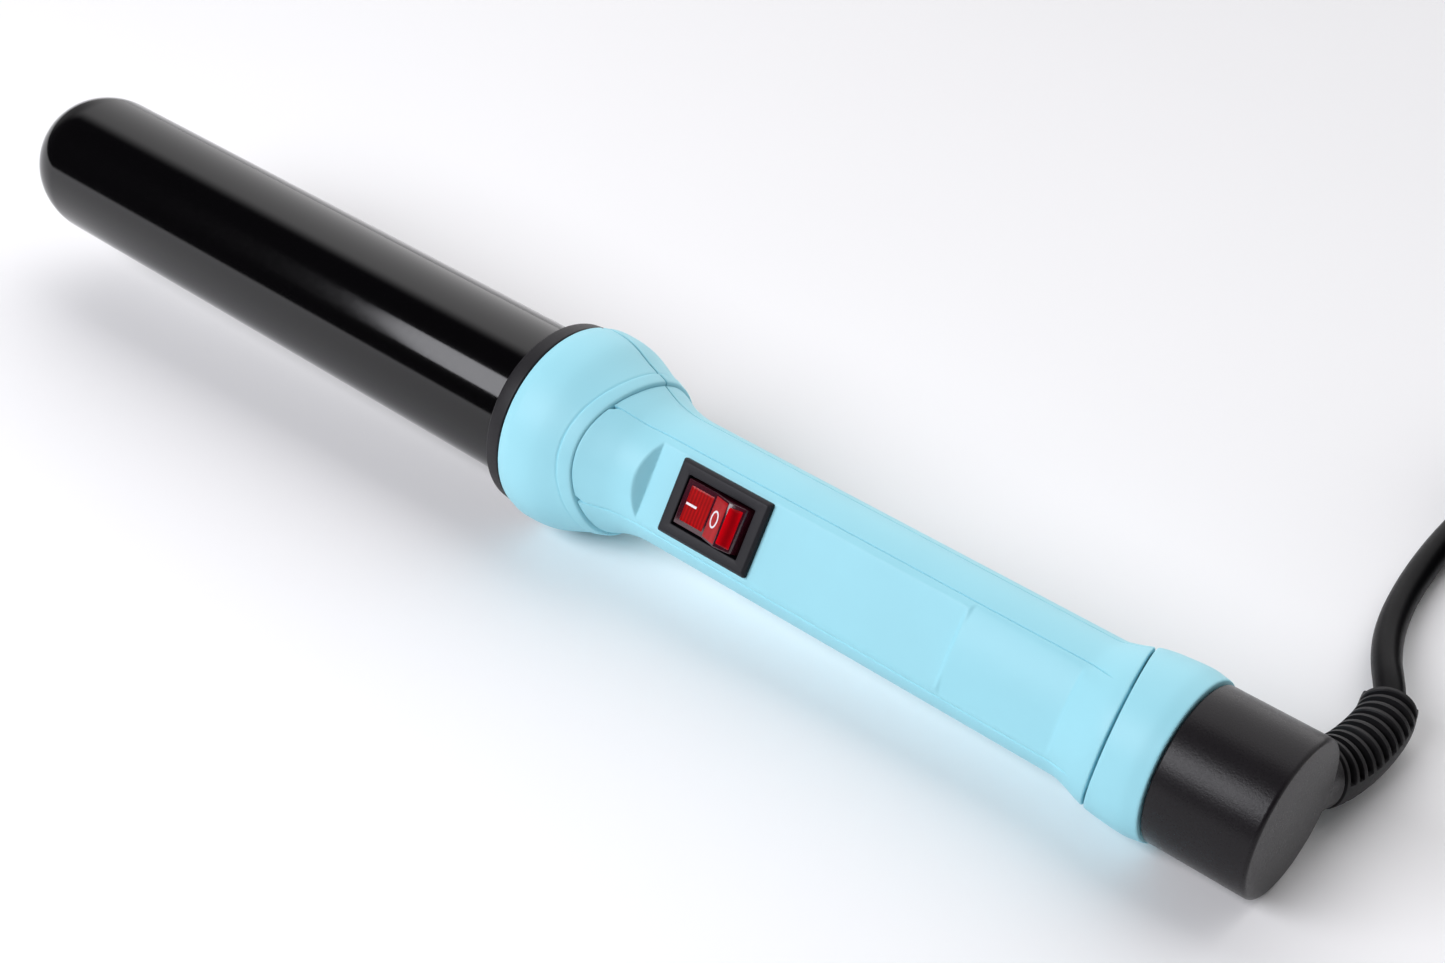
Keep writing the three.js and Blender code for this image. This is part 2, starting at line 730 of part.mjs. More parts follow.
function coilPieces() {
  const inner = COIL_TURN_RADIUS - COIL_ROWS * CORD_RADIUS;
  const outer = COIL_TURN_RADIUS + COIL_ROWS * CORD_RADIUS;
  const low = TIE_THICKNESS + GAP;
  const high = low + 2 * CORD_RADIUS * COIL_LAYERS;
  const outline = [[inner, low], [outer, low], [outer, high], [inner, high], [inner, low]];
  const points = outline.map(([radius, z]) => new THREE.Vector2(radius, z));
  const coil = solid(new THREE.LatheGeometry(points, 40).rotateX(Math.PI / 2));
  const grow = GAP + TIE_THICKNESS;
  const band = box([-3, inner - grow - GAP, 0], [3, outer + grow, high + grow]).subtract(
    box([-4, inner - 2 * GAP, TIE_THICKNESS], [4, outer + GAP, high + GAP]),
  );
  const [x, y] = COIL_CENTRE;
  return [
    meshOf("cord_coil", coil.translate([x, y, 0]), CORD_BLACK),
    meshOf("cord_tie", band.translate([x, y, 0]), BLACK_MATTE),
  ];
}

// The plug along its own x axis, from where the cord enters to the tips of the pins.
function plugPieces() {
  const group = new THREE.Group();
  const half = PLUG_WIDTH / 2;
  const face = 36;
  const pinEnd = 55;
  const sleeveEnd = 46;
  const bevel = 1.5;
  const side = [[9, 5], [16, 12], [24, half], [face, half]];
  const corners = [...side.map(([x, y]) => [x, -y]), ...side.reverse()];
  const inset = corners.map(([x, y]) => new THREE.Vector2(x, y));
  const flat = new THREE.ExtrudeGeometry(new THREE.Shape(inset), {
    depth: PLUG_THICKNESS - 2 * bevel,
    bevelSize: bevel,
    bevelThickness: bevel,
    bevelOffset: -bevel,
    bevelSegments: 2,
  }).translate(0, 0, bevel - PLUG_THICKNESS / 2);
  const root = turned([[0, 0], [0, 3.8], [12, 5.4], [14, 5.4], [14, 0]], 20).subtract(
    rod("x", -1, 3, CORD_RADIUS + GAP, [0, 0]),
  );
  group.add(meshOf("plug_body", solid(flat).add(root), CORD_BLACK));
  [1, -1].forEach((side, i) => {
    const at = [(side * PIN_SPACING) / 2, 0];
    const pin = rod("x", face + GAP, sleeveEnd + 1, 1.2, at, 12)
      .add(rod("x", sleeveEnd + GAP, pinEnd - 1, 2, at))
      .add(rod("x", sleeveEnd + GAP, pinEnd, 1.3, at));
    const bore = rod("x", face, sleeveEnd + 1, 1.5, at);
    const sleeve = rod("x", face + GAP, sleeveEnd, 1.9, at).subtract(bore);
    group.add(meshOf("plug_pin_" + (i + 1), pin, BRASS));
    group.add(meshOf("plug_sleeve_" + (i + 1), sleeve, BLACK_MATTE));
  });
  group.position.set(...PLUG_AT);
  group.rotation.z = PLUG_TURN;
  return group;
}

const wand = new THREE.Group();
const handle = new THREE.Group();
handle.add(upperShell(), lowerShell(), switchPanel(), rearRing(), ...shellScrews());
handle.add(barrelTube(), heatCollar(), barrelClamp(), ...barrelScrews(), ...heaterParts(), ...wiring());
handle.add(switchHousing(), rockerPieces(), contactLever(), ...terminals(), neonLamp(), ...brushes());
handle.rotation.x = PANEL_ROLL;
wand.add(handle, ...swivelCore(), ...cordCores());
wand.rotation.y = AXIS_FALL;
wand.position.set(-CENTRE_X, 0, AXIS_HEIGHT);
wand.updateMatrix();

const neckCurve = curveOf(NECK_ROUTE);
const part = new THREE.Group();
part.add(wand);
part.add(meshOf("swivel_cap", swivelCap(wand.matrix, neckCurve), BLACK_MATTE));
part.add(meshOf("strain_relief", strainRelief(neckCurve), BLACK_MATTE));
part.add(meshOf("cord_end", bentBar(neckCurve, [0, 1], () => CORD_RADIUS, 10, 12), CORD_BLACK));
part.add(meshOf("cord", tube(CORD_ROUTE, CORD_RADIUS, 10, 14), CORD_BLACK));
part.add(meshOf("cord_tail", tube(TAIL_ROUTE, CORD_RADIUS, 10, 6), CORD_BLACK));
part.add(...coilPieces(), plugPieces());

export default part;
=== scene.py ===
import json
import math

import bmesh
import bpy
from mathutils import Matrix, Vector


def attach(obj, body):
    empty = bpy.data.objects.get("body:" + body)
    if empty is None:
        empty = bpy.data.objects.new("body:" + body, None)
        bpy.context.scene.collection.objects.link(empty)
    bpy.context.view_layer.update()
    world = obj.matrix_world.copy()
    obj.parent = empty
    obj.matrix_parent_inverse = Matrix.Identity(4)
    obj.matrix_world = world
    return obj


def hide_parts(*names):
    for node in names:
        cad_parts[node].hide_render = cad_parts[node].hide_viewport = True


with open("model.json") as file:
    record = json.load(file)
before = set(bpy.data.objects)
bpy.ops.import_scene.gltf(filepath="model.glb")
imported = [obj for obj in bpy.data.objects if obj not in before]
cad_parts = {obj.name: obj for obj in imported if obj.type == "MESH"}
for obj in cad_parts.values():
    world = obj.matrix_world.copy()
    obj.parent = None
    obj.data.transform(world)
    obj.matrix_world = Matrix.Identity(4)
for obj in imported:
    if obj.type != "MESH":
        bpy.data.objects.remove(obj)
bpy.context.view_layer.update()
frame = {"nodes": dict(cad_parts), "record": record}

MM = 0.001

# Where the handle lies, from the record's joints.
joints = {joint["name"]: joint for joint in frame["record"]["behaviour"]["joints"]}
along = Vector(joints["cord_swivel"]["axis"]).normalized()
across = Vector(joints["rocker_switch"]["axis"]).normalized()
SWIVEL_STATION = 310
SWITCH_X = 211.7
ROCKER_PIVOT = 8.6
ROCKER_TILT = math.radians(-12)
turn = Matrix((along, across, along.cross(across))).transposed().to_4x4()
tip = Vector(joints["cord_swivel"]["pos_m"]) - along * SWIVEL_STATION * MM
HANDLE = Matrix.Translation(tip) @ turn @ Matrix.Scale(MM, 4)

# Measures along the wand and its radii, in millimetres.
BARREL_RADIUS = 16
COLLAR_START = 161.3
GUARD_START = 165.7
GUARD_RADIUS = 18
LIP_START = 182.2
LIP_END = 184.6
LIP_RISE = 0.2
SEAM = 293.6
SEAM_SLOPE = 0.267
SEAM_RADIUS = 14.6
RING_END = 306.4
CAP_END = 325.7
CAP_RADIUS = 14.5
PARTING_HEIGHT = 1.2
PANEL_HALF_WIDTH = 8.95
FLAT_START = 195.3
FLAT_END = 264
FLAT_HEIGHT = 10.3
BEZEL_LENGTH = 21.2
BEZEL_WIDTH = 14.7
BEZEL_HEIGHT = 1.4
SCREW_STATIONS = (234, 262)
SEAM_GAP = 0.22
FINE_GAP = 0.12

# Outlines as (x, radius): the guard's dome, and the neck with the grip and the rear flare.
DOME = [(165.7, 19.7), (168.3, 20.33), (173.7, 19.9), (179.7, 17.7), (184.6, 15.95), (190, 14)]
NECK = [
    (178, 18.2),
    (181, 17.15),
    (184.6, 15.5),
    (186.5, 14.72),
    (188.7, 13.88),
    (191.5, 13.22),
    (196, 12.85),
    (240, 12.85),
    (287.4, 12.85),
    (288.4, 12.93),
    (289.4, 13.17),
    (291, 13.62),
    (294.4, 14.7),
    (299, 15.3),
    (303, 15.5),
    (306.4, 15.05),
]

# The mains cord, in metres.
CORD_DIAMETER = 0.0056
SLEEVE_ROUTE = [
    (0.1548, 0.003, 0.014),
    (0.1553, 0.010, 0.0112),
    (0.1561, 0.0165, 0.0089),
    (0.1574, 0.022, 0.0072),
    (0.1583, 0.028, 0.0064),
    (0.1586, 0.0352, 0.0061),
    (0.1582, 0.0406, 0.00605),
    (0.15695, 0.0454, 0.006),
]
CORD_ROUTE = [
    (0.1553, 0.0489, 0.00598),
    (0.1538, 0.0515, 0.0058),
    (0.1506, 0.0573, 0.005),
    (0.1473, 0.065, 0.0041),
    (0.145, 0.0725, 0.0035),
    (0.1433, 0.0805, 0.00305),
    (0.142, 0.0901, 0.0029),
    (0.1413, 0.0996, 0.0029),
    (0.1412, 0.109, 0.00315),
    (0.1414, 0.1172, 0.0037),
    (0.1414, 0.128, 0.0039),
]
TAIL_ROUTE = [
    (0.2146, 0.128, 0.0206),
    (0.2144, 0.1172, 0.0186),
    (0.2138, 0.110, 0.0150),
    (0.2126, 0.102, 0.0110),
    (0.2111, 0.095, 0.0083),
    (0.2096, 0.0885, 0.0071),
]
COIL_CENTRE = (0.178, 0.140)
COIL_RADII = (0.0366, 0.031, 0.0254)
COIL_LAYERS = 4
COIL_LOWEST = 0.0039
PLUG_AT = Vector((0.2094, 0.088, 0.00695))
PLUG_TURN = math.radians(-101)
ON_TABLE = Matrix.Identity(4)


# Camera.

CAMERA_AT = Vector((0.25481, -0.24268, 0.2532))
CAMERA_AZIMUTH = math.radians(41.26)
CAMERA_ELEVATION = math.radians(35.32)
camera_data = bpy.data.cameras.new("camera")
camera_data.lens = 53.11
camera_data.sensor_width = 36
camera = bpy.data.objects.new("camera", camera_data)
back = Vector(
    (
        math.sin(CAMERA_AZIMUTH) * math.cos(CAMERA_ELEVATION),
        -math.cos(CAMERA_AZIMUTH) * math.cos(CAMERA_ELEVATION),
        math.sin(CAMERA_ELEVATION),
    )
)
camera.rotation_euler = (-back).to_track_quat("-Z", "Y").to_euler()
camera.location = CAMERA_AT
bpy.context.scene.collection.objects.link(camera)
bpy.context.scene.camera = camera


# Materials.

NOISE_RANGE = (0.3, 0.7)
ROUGHNESS_SHARE = 0.12
ROUGHNESS_PLAY = 0.04


class Nodes:
    """A node material under construction."""

    def __init__(self, name):
        self.material = bpy.data.materials.new(name)
        self.material.use_nodes = True
        self.tree = self.material.node_tree
        self.shader = self.tree.nodes["Principled BSDF"]
        self.place = self.add("ShaderNodeTexCoord").outputs["Object"]

    def add(self, kind, **settings):
        node = self.tree.nodes.new(kind)
        for key, value in settings.items():
            setattr(node, key, value)
        return node

    def link(self, source, target):
        self.tree.links.new(source, target)

    def set(self, **values):
        for key, value in values.items():
            self.shader.inputs[key.replace("_", " ")].default_value = value

    def noise(self, scale, detail=3, roughness=0.5):
        node = self.add("ShaderNodeTexNoise")
        node.inputs["Scale"].default_value = scale
        node.inputs["Detail"].default_value = detail
        node.inputs["Roughness"].default_value = roughness
        self.link(self.place, node.inputs["Vector"])
        return node.outputs["Fac"]

    def spread(self, value, low, high):
        """A noise value, which mostly lies in NOISE_RANGE, drawn out from low to high."""
        node = self.add("ShaderNodeMapRange")
        node.inputs["From Min"].default_value = NOISE_RANGE[0]
        node.inputs["From Max"].default_value = NOISE_RANGE[1]
        node.inputs["To Min"].default_value = low
        node.inputs["To Max"].default_value = high
        self.link(value, node.inputs["Value"])
        return node.outputs["Result"]

    def mix(self, factor, first, second):
        node = self.add("ShaderNodeMix", data_type="RGBA")
        self.link(factor, node.inputs["Factor"])
        for socket, value in ((node.inputs["A"], first), (node.inputs["B"], second)):
            if isinstance(value, bpy.types.NodeSocket):
                self.link(value, socket)
            else:
                socket.default_value = (*value, 1)
        return node.outputs["Result"]

    def bump(self, height, depth):
        node = self.add("ShaderNodeBump")
        node.inputs["Strength"].default_value = 1
        node.inputs["Distance"].default_value = depth
        self.link(height, node.inputs["Height"])
        self.link(node.outputs["Normal"], self.shader.inputs["Normal"])


def moulded(name, colour, roughness, shade=0.94, grain=2500, depth=1e-5, metallic=0.0, **values):
    """A surface with a fine grain, whose colour varies in patches down to a shade of itself."""
    nodes = Nodes(name)
    nodes.set(Metallic=metallic, **values)
    patches = nodes.spread(nodes.noise(scale=60, detail=4), 0, 1)
    darker = tuple(channel * shade for channel in colour)
    nodes.link(nodes.mix(patches, darker, colour), nodes.shader.inputs["Base Color"])
    fine = nodes.noise(grain, detail=2, roughness=0.6)
    play = min(ROUGHNESS_PLAY, roughness * ROUGHNESS_SHARE)
    varied = nodes.spread(fine, roughness - play, roughness + play)
    nodes.link(varied, nodes.shader.inputs["Roughness"])
    nodes.bump(fine, depth)
    return nodes.material


AQUA = moulded(
    "soft_touch_aqua",
    (0.352, 0.73, 0.83),
    roughness=0.46,
    shade=0.97,
    grain=3500,
    depth=4e-6,
    Specular_IOR_Level=0.3,
)
GLOSS_BLACK = moulded(
    "ceramic_black",
    (0.0012, 0.001, 0.0013),
    roughness=0.1,
    shade=0.9,
    grain=900,
    depth=1e-7,
    Specular_IOR_Level=0.36,
)
COLLAR_BLACK = moulded(
    "collar_black",
    (0.012, 0.011, 0.013),
    roughness=0.5,
    shade=0.85,
    grain=2200,
    depth=1e-5,
    Specular_IOR_Level=0.3,
)
CAP_BLACK = moulded(
    "cap_black",
    (0.012, 0.0105, 0.012),
    roughness=0.3,
    shade=0.85,
    grain=2600,
    depth=2.5e-5,
    Specular_IOR_Level=0.2,
)
SLEEVE_BLACK = moulded(
    "sleeve_black",
    (0.011, 0.0105, 0.0115),
    roughness=0.5,
    shade=0.85,
    grain=2600,
    depth=8e-6,
    Specular_IOR_Level=0.2,
)
CORD_BLACK = moulded(
    "cord_black",
    (0.002, 0.0018, 0.0024),
    roughness=0.35,
    shade=0.85,
    grain=1500,
    depth=4e-6,
    Specular_IOR_Level=0.06,
)
BEZEL_GREY = moulded(
    "bezel_charcoal",
    (0.018, 0.0175, 0.021),
    roughness=0.5,
    shade=0.75,
    grain=2600,
    depth=2e-5,
    Specular_IOR_Level=0.25,
)
BEZEL_SIDE = moulded(
    "bezel_side",
    (0.004, 0.004, 0.006),
    roughness=0.25,
    shade=0.8,
    grain=2600,
    depth=4e-6,
    Specular_IOR_Level=0.2,
)
MARK_WHITE = moulded("mark_white", (0.85, 0.80, 0.85), roughness=0.4, shade=0.97)
TIE_BLACK = moulded(
    "tie_black", (0.012, 0.012, 0.013), roughness=0.8, shade=0.7, grain=1800, depth=8e-5
)
BRASS = moulded(
    "brass", (0.74, 0.55, 0.27), roughness=0.28, shade=0.93, grain=1200, depth=2e-6, metallic=1.0
)
STEEL = moulded(
    "steel", (0.56, 0.56, 0.58), roughness=0.3, shade=0.9, grain=1200, depth=3e-6, metallic=1.0
)
ALUMINIUM = moulded(
    "cast_aluminium",
    (0.62, 0.63, 0.65),
    roughness=0.5,
    shade=0.85,
    grain=900,
    depth=3e-5,
    metallic=1.0,
)
CERAMIC = moulded(
    "fired_ceramic", (0.80, 0.76, 0.68), roughness=0.75, shade=0.9, grain=1500, depth=1e-5
)
WHITE_PLASTIC = moulded("white_plastic", (0.78, 0.77, 0.72), roughness=0.45, shade=0.96)
SILICONE = moulded("lead_silicone", (0.66, 0.62, 0.53), roughness=0.6, shade=0.92)
NEON_RED = moulded("lamp_red", (0.6, 0.03, 0.02), roughness=0.15, shade=0.8)


def lens_lines_and_painted_streak_red(name, bright, dark, roughness, lines, **values):
    """Clear red plastic over a backing, banded across the wand. Fine bands are lens lines; coarse
    bands are a painted bright streak of light with painted shade beside it.
    """
    nodes = Nodes(name)
    nodes.set(Roughness=roughness, Coat_Weight=0.14, Coat_Roughness=0.04, **values)
    wave = nodes.add("ShaderNodeTexWave", wave_type="BANDS", bands_direction="X")
    wave.inputs["Scale"].default_value = lines
    wave.inputs["Distortion"].default_value = 0.6
    wave.inputs["Detail"].default_value = 1
    turned = nodes.add("ShaderNodeMapping", vector_type="TEXTURE")
    turned.inputs["Rotation"].default_value = turn.to_euler()
    nodes.link(nodes.place, turned.inputs["Vector"])
    nodes.link(turned.outputs["Vector"], wave.inputs["Vector"])
    cloud = nodes.spread(nodes.noise(scale=260, detail=2), 0, 1)
    streaks = nodes.mix(cloud, tuple(channel * 0.7 for channel in bright), bright)
    nodes.link(nodes.mix(wave.outputs["Fac"], dark, streaks), nodes.shader.inputs["Base Color"])
    return nodes.material


LENS_RED = lens_lines_and_painted_streak_red(
    "lens_red",
    bright=(0.5, 0.0005, 0.002),
    dark=(0.25, 0.0002, 0.001),
    roughness=0.3,
    lines=420,
    Specular_IOR_Level=0.1,
)
FACET_RED = lens_lines_and_painted_streak_red(
    "facet_red",
    bright=(0.46, 0.004, 0.008),
    dark=(0.34, 0.002, 0.004),
    roughness=0.3,
    lines=200,
    Specular_IOR_Level=0.25,
)
# The end wall's coarse bands are a painted bright streak of light with painted shade beside it.
END_WALL_RED_PAINTED_STREAK = lens_lines_and_painted_streak_red(
    "end_wall_red_painted_streak",
    bright=(0.75, 0.0005, 0.006),
    dark=(0.25, 0.0002, 0.003),
    roughness=0.12,
    lines=90,
    Specular_IOR_Level=0.2,
)
# The rocker's body is a dark copy of its clear red: painted shade on its sides and the rims round
# the facets.
ROCKER_RED_PAINTED_SHADE = moulded(
    "rocker_red_painted_shade",
    (0.055, 0.006, 0.014),
    roughness=0.14,
    shade=0.7,
    Coat_Weight=0.5,
    Coat_Roughness=0.05,
)

SLOT_MATERIALS = {
    "aqua": AQUA,
    "black_gloss": GLOSS_BLACK,
    "black_matte": CAP_BLACK,
    "red_clear": NEON_RED,
    "steel": STEEL,
    "aluminium": ALUMINIUM,
    "brass": BRASS,
    "ceramic": CERAMIC,
    "white_plastic": WHITE_PLASTIC,
    "silicone": SILICONE,
    "cord_black": CORD_BLACK,
}
for subpart in frame["record"]["subparts"]:
    mesh = frame["nodes"][subpart["node"]].data
    mesh.materials.clear()
    mesh.materials.append(SLOT_MATERIALS[subpart["material_slot"]])


# Mesh helpers.

SHARP_EDGE = math.radians(38)
MERGE_DISTANCE = 1e-7


def piece(name, points, faces, material, body, replaced, slot, matrix=HANDLE):
    """A smooth-shaded mesh piece that rides on a body and stands for CAD nodes."""
    data = bpy.data.meshes.new(name)
    data.from_pydata([matrix @ Vector(point) for point in points], [], faces)
    data.materials.append(material)
    made = bpy.data.objects.new(name, data)
    bpy.context.scene.collection.objects.link(made)
    tidy(made)
    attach(made, body)
    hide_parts(*replaced)
    return made


def tidy(made):
    """Merges doubled points, turns faces outwards and shades smoothly but for sharp edges."""
    mesh = bmesh.new()
    mesh.from_mesh(made.data)
    bmesh.ops.remove_doubles(mesh, verts=mesh.verts, dist=MERGE_DISTANCE)
    bmesh.ops.recalc_face_normals(mesh, faces=mesh.faces)
    for face in mesh.faces:
        face.smooth = True
    for edge in mesh.edges:
        edge.smooth = not edge.is_manifold or edge.calc_face_angle(0) < SHARP_EDGE
    mesh.to_mesh(made.data)
    mesh.free()


def grid_faces(rows, columns, closed=False):
    """Quads between rows of points that follow one another; closed joins each row's two ends."""
    faces = []
    for i in range(rows - 1):
        for j in range(columns if closed else columns - 1):
            k = (j + 1) % columns
            a = i * columns
            b = a + columns
            faces.append((a + j, a + k, b + k, b + j))
    return faces


def band_faces(rows, columns):
    """Quads of a closed section that runs round into itself."""
    total = rows * columns
    faces = grid_faces(rows + 1, columns, closed=True)
    return [tuple(i % total for i in face) for face in faces]


def through(points):
    """A smooth function through (x, value) points."""

    def slope(i):
        i = min(max(i, 1), len(points) - 2)
        (x0, y0), (x1, y1), (x2, y2) = points[i - 1 : i + 2]
        before = (y1 - y0) / (x1 - x0)
        after = (y2 - y1) / (x2 - x1)
        if before * after <= 0:
            return 0
        weight = (x1 - x0) / (x2 - x0)
        return after * weight + before * (1 - weight)

    slopes = [slope(i) for i in range(len(points))]

    def value(x):
        x = min(max(x, points[0][0]), points[-1][0])
        i = 0
        while i < len(points) - 2 and x > points[i + 1][0]:
            i += 1
        (x0, y0), (x1, y1) = points[i : i + 2]
        span = x1 - x0
        t = (x - x0) / span
        start = y0 * (1 + 2 * t) * (1 - t) ** 2 + slopes[i] * span * t * (1 - t) ** 2
        return start + y1 * t * t * (3 - 2 * t) - slopes[i + 1] * span * t * t * (1 - t)

    return value


dome = through(DOME)
neck = through(NECK)


def round_about(x, angle, radius):
    """The point at a turn about the wand's axis, counted from the panel's normal."""
    return (x, radius * math.sin(angle), radius * math.cos(angle))


# The rounded edge of a moulded skin, the steps it is drawn in, and the wall that goes down from it.
EDGE = 0.35
EDGE_STEPS = (0, 0.03, 0.08, 0.16, 0.25, EDGE)
SKIRT = 1.4


def drop(distance, width=EDGE):
    """How far a rounded edge falls away at a distance from the piece's border."""
    if distance >= width:
        return 0
    inwards = width - max(distance, 0)
    return width - math.sqrt(width * width - inwards * inwards)


def stations(count):
    """Places across a patch: the skirt and rounded edge, an even middle, and the same again."""
    near = [("near", -1)] + [("near", step) for step in EDGE_STEPS]
    middle = [("middle", i / count) for i in range(1, count)]
    far = [("far", step) for step in reversed(EDGE_STEPS)] + [("far", -1)]
    return near + middle + far


def reach(station, low, high):
    """The place of a station between two borders, and its drop there."""
    side, value = station
    if side == "middle":
        return low + EDGE + (high - low - 2 * EDGE) * value, 0
    fall = SKIRT if value < 0 else drop(value)
    place = max(value, 0)
    return (low + place if side == "near" else high - place), fall


# A station past the lip, from which the grip is straight.
GRIP_FRONT = 200


def front_sharpness(x):
    """The edges behind the lip are crisper than the others."""
    return 0.4 if x < GRIP_FRONT else 1


def patch(x_low, x_high, angle_low, angle_high, radius, rows, columns, fade):
    """Part of a round skin between two slanted cuts along x and two borders round the axis.
    Each point's angle is found in a few rounds, because the cuts and borders depend on each other.
    fade scales how far the side edges fall."""
    points = []
    row_places = stations(rows)
    column_places = stations(columns)
    for row in row_places:
        for column in column_places:
            angle = (angle_low(GRIP_FRONT) + angle_high(GRIP_FRONT)) / 2
            for _ in range(3):
                x, fall_x = reach(row, x_low(angle), x_high(angle))
                size = radius(x, angle)
                around, fall_angle = reach(column, angle_low(x) * size, angle_high(x) * size)
                angle = around / size
            fall_angle *= fade(x)
            fall = max(fall_x * front_sharpness(x), fall_angle)
            points.append(round_about(x, angle, size - fall))
    return points, grid_faces(len(row_places), len(column_places))


def joined(*parts):
    """Several lots of points and faces as one."""
    points = []
    faces = []
    for some_points, some_faces in parts:
        shift = len(points)
        points += some_points
        faces += [tuple(i + shift for i in face) for face in some_faces]
    return points, faces


def lathe(outline, segments=160):
    """A skin turned about the wand's axis, from (x, radius) points."""
    points = []
    for x, radius in outline:
        for j in range(segments):
            points.append(round_about(x, 2 * math.pi * j / segments, radius))
    return points, grid_faces(len(outline), segments, closed=True)


def arc(centre_x, centre_radius, size, start, end, count):
    """Outline points on a round, with angles in degrees from +x towards larger radii."""
    found = []
    for i in range(count + 1):
        angle = math.radians(start + (end - start) * i / count)
        found.append((centre_x + size * math.cos(angle), centre_radius + size * math.sin(angle)))
    return found


def smooth_path(route, step):
    """Points along a smooth curve through a route, about a step apart."""
    knots = [Vector(point) for point in route]
    knots = [2 * knots[0] - knots[1], *knots, 2 * knots[-1] - knots[-2]]
    path = []
    for p0, p1, p2, p3 in zip(knots, knots[1:], knots[2:], knots[3:]):
        t1 = (p1 - p0).length ** 0.5
        t2 = t1 + (p2 - p1).length ** 0.5
        t3 = t2 + (p3 - p2).length ** 0.5
        count = max(1, round((p2 - p1).length / step))
        for i in range(count):
            t = t1 + (t2 - t1) * i / count
            a1 = p0.lerp(p1, t / t1)
            a2 = p1.lerp(p2, (t - t1) / (t2 - t1))
            a3 = p2.lerp(p3, (t - t2) / (t3 - t2))
            b1 = a1.lerp(a2, t / t2)
            b2 = a2.lerp(a3, (t - t1) / (t3 - t1))
            path.append(b1.lerp(b2, (t - t1) / (t2 - t1)))
    return [*path, knots[-2]]


# Cord.


def smoothstep(t):
    t = min(max(t, 0), 1)
    return t * t * (3 - 2 * t)


def coil_path():
    """The cord wound clockwise in rows and layers. It steps sideways and upwards in separate
    windows of the turn, earlier with each layer, so that no turn meets another. Turns are in
    degrees."""
    window = 50
    turn_step = 6
    rows = len(COIL_RADII)
    pitch = COIL_RADII[0] - COIL_RADII[1]
    moves = []
    for layer in range(COIL_LAYERS):
        inwards = -pitch if layer % 2 == 0 else pitch
        earlier = 2 * window * layer
        for row in range(1, rows):
            moves.append((360 * (rows * layer + row) - window - earlier, inwards, 0))
        if layer < COIL_LAYERS - 1:
            moves.append((360 * rows * (layer + 1) - 2 * window - earlier, 0, pitch))
    path = []
    travelled = 0
    whole = 360 * rows * COIL_LAYERS - 180
    while travelled <= whole:
        radius = COIL_RADII[0]
        height = COIL_LOWEST
        for start, sideways, upwards in moves:
            done = smoothstep((travelled - start) / window) if start < whole - window else 0
            radius += sideways * done
            height += upwards * done
        angle = math.pi - math.radians(travelled)
        x = COIL_CENTRE[0] + radius * math.cos(angle)
        y = COIL_CENTRE[1] + radius * math.sin(angle)
        path.append(Vector((x, y, height)))
        travelled += turn_step
    return path


SLEEVE_STEP = 0.00025
CORD_STEP = 0.0015
sleeve_path = smooth_path(SLEEVE_ROUTE, SLEEVE_STEP)
cord_path = [
    *smooth_path([*SLEEVE_ROUTE[-2:], *CORD_ROUTE], CORD_STEP),
    *coil_path(),
    *smooth_path(TAIL_ROUTE, CORD_STEP),
]
cord_data = bpy.data.curves.new("cord", "CURVE")
cord_data.dimensions = "3D"
cord_data.bevel_depth = CORD_DIAMETER / 2
cord_data.bevel_resolution = 5
cord_data.use_fill_caps = True
spline = cord_data.splines.new("POLY")
spline.points.add(len(cord_path) - 1)
for spline_point, place in zip(spline.points, cord_path):
    spline_point.co = (*place, 1)
spline.use_smooth = True
cord_data.materials.append(CORD_BLACK)
mains_cord = bpy.data.objects.new("mains_cord", cord_data)
bpy.context.scene.collection.objects.link(mains_cord)
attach(mains_cord, "swivel")
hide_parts("cord", "cord_coil", "cord_tail", "cord_end")


def swept(path, ring_radius, columns):
    """A round skin along a path; ring_radius gives the radius from a ring's number and a turn."""
    points = []
    for i, middle in enumerate(path):
        ahead = (path[min(i + 1, len(path) - 1)] - path[max(i - 1, 0)]).normalized()
        side = ahead.cross(Vector((0, 0, 1))).normalized()
        over = side.cross(ahead)
        for j in range(columns):
            angle = 2 * math.pi * j / columns
            size = ring_radius(i, angle)
            points.append(middle + side * math.cos(angle) * size + over * math.sin(angle) * size)
    return points, grid_faces(len(path), columns, closed=True)


# Strain relief sleeve: two facing rows of slots round a tapering tube, half a pitch apart.

NECK_END = 0.4
SLEEVE_COLUMNS = 120
SLEEVE_RADIUS = 0.0059
SLEEVE_TAPER = 0.0009
FIRST_SLOT = 0.0018
SLOT_PITCH = 0.00235
SLOT_COUNT = 11
SLOT_HALF_WIDTH = 0.00055
SLOT_SIDE = 0.0003
SLOT_HALF_TURN = math.radians(70)
SLOT_END = 0.1
SLOTS_FACE = math.radians(85)
SLOT_FLOOR = 0.0033


def slot_shape(distance, width, soft):
    """1 inside a slot's half width, 0 outside it, with a soft step between."""
    return 1 - smoothstep((abs(distance) - width) / soft + 0.5)


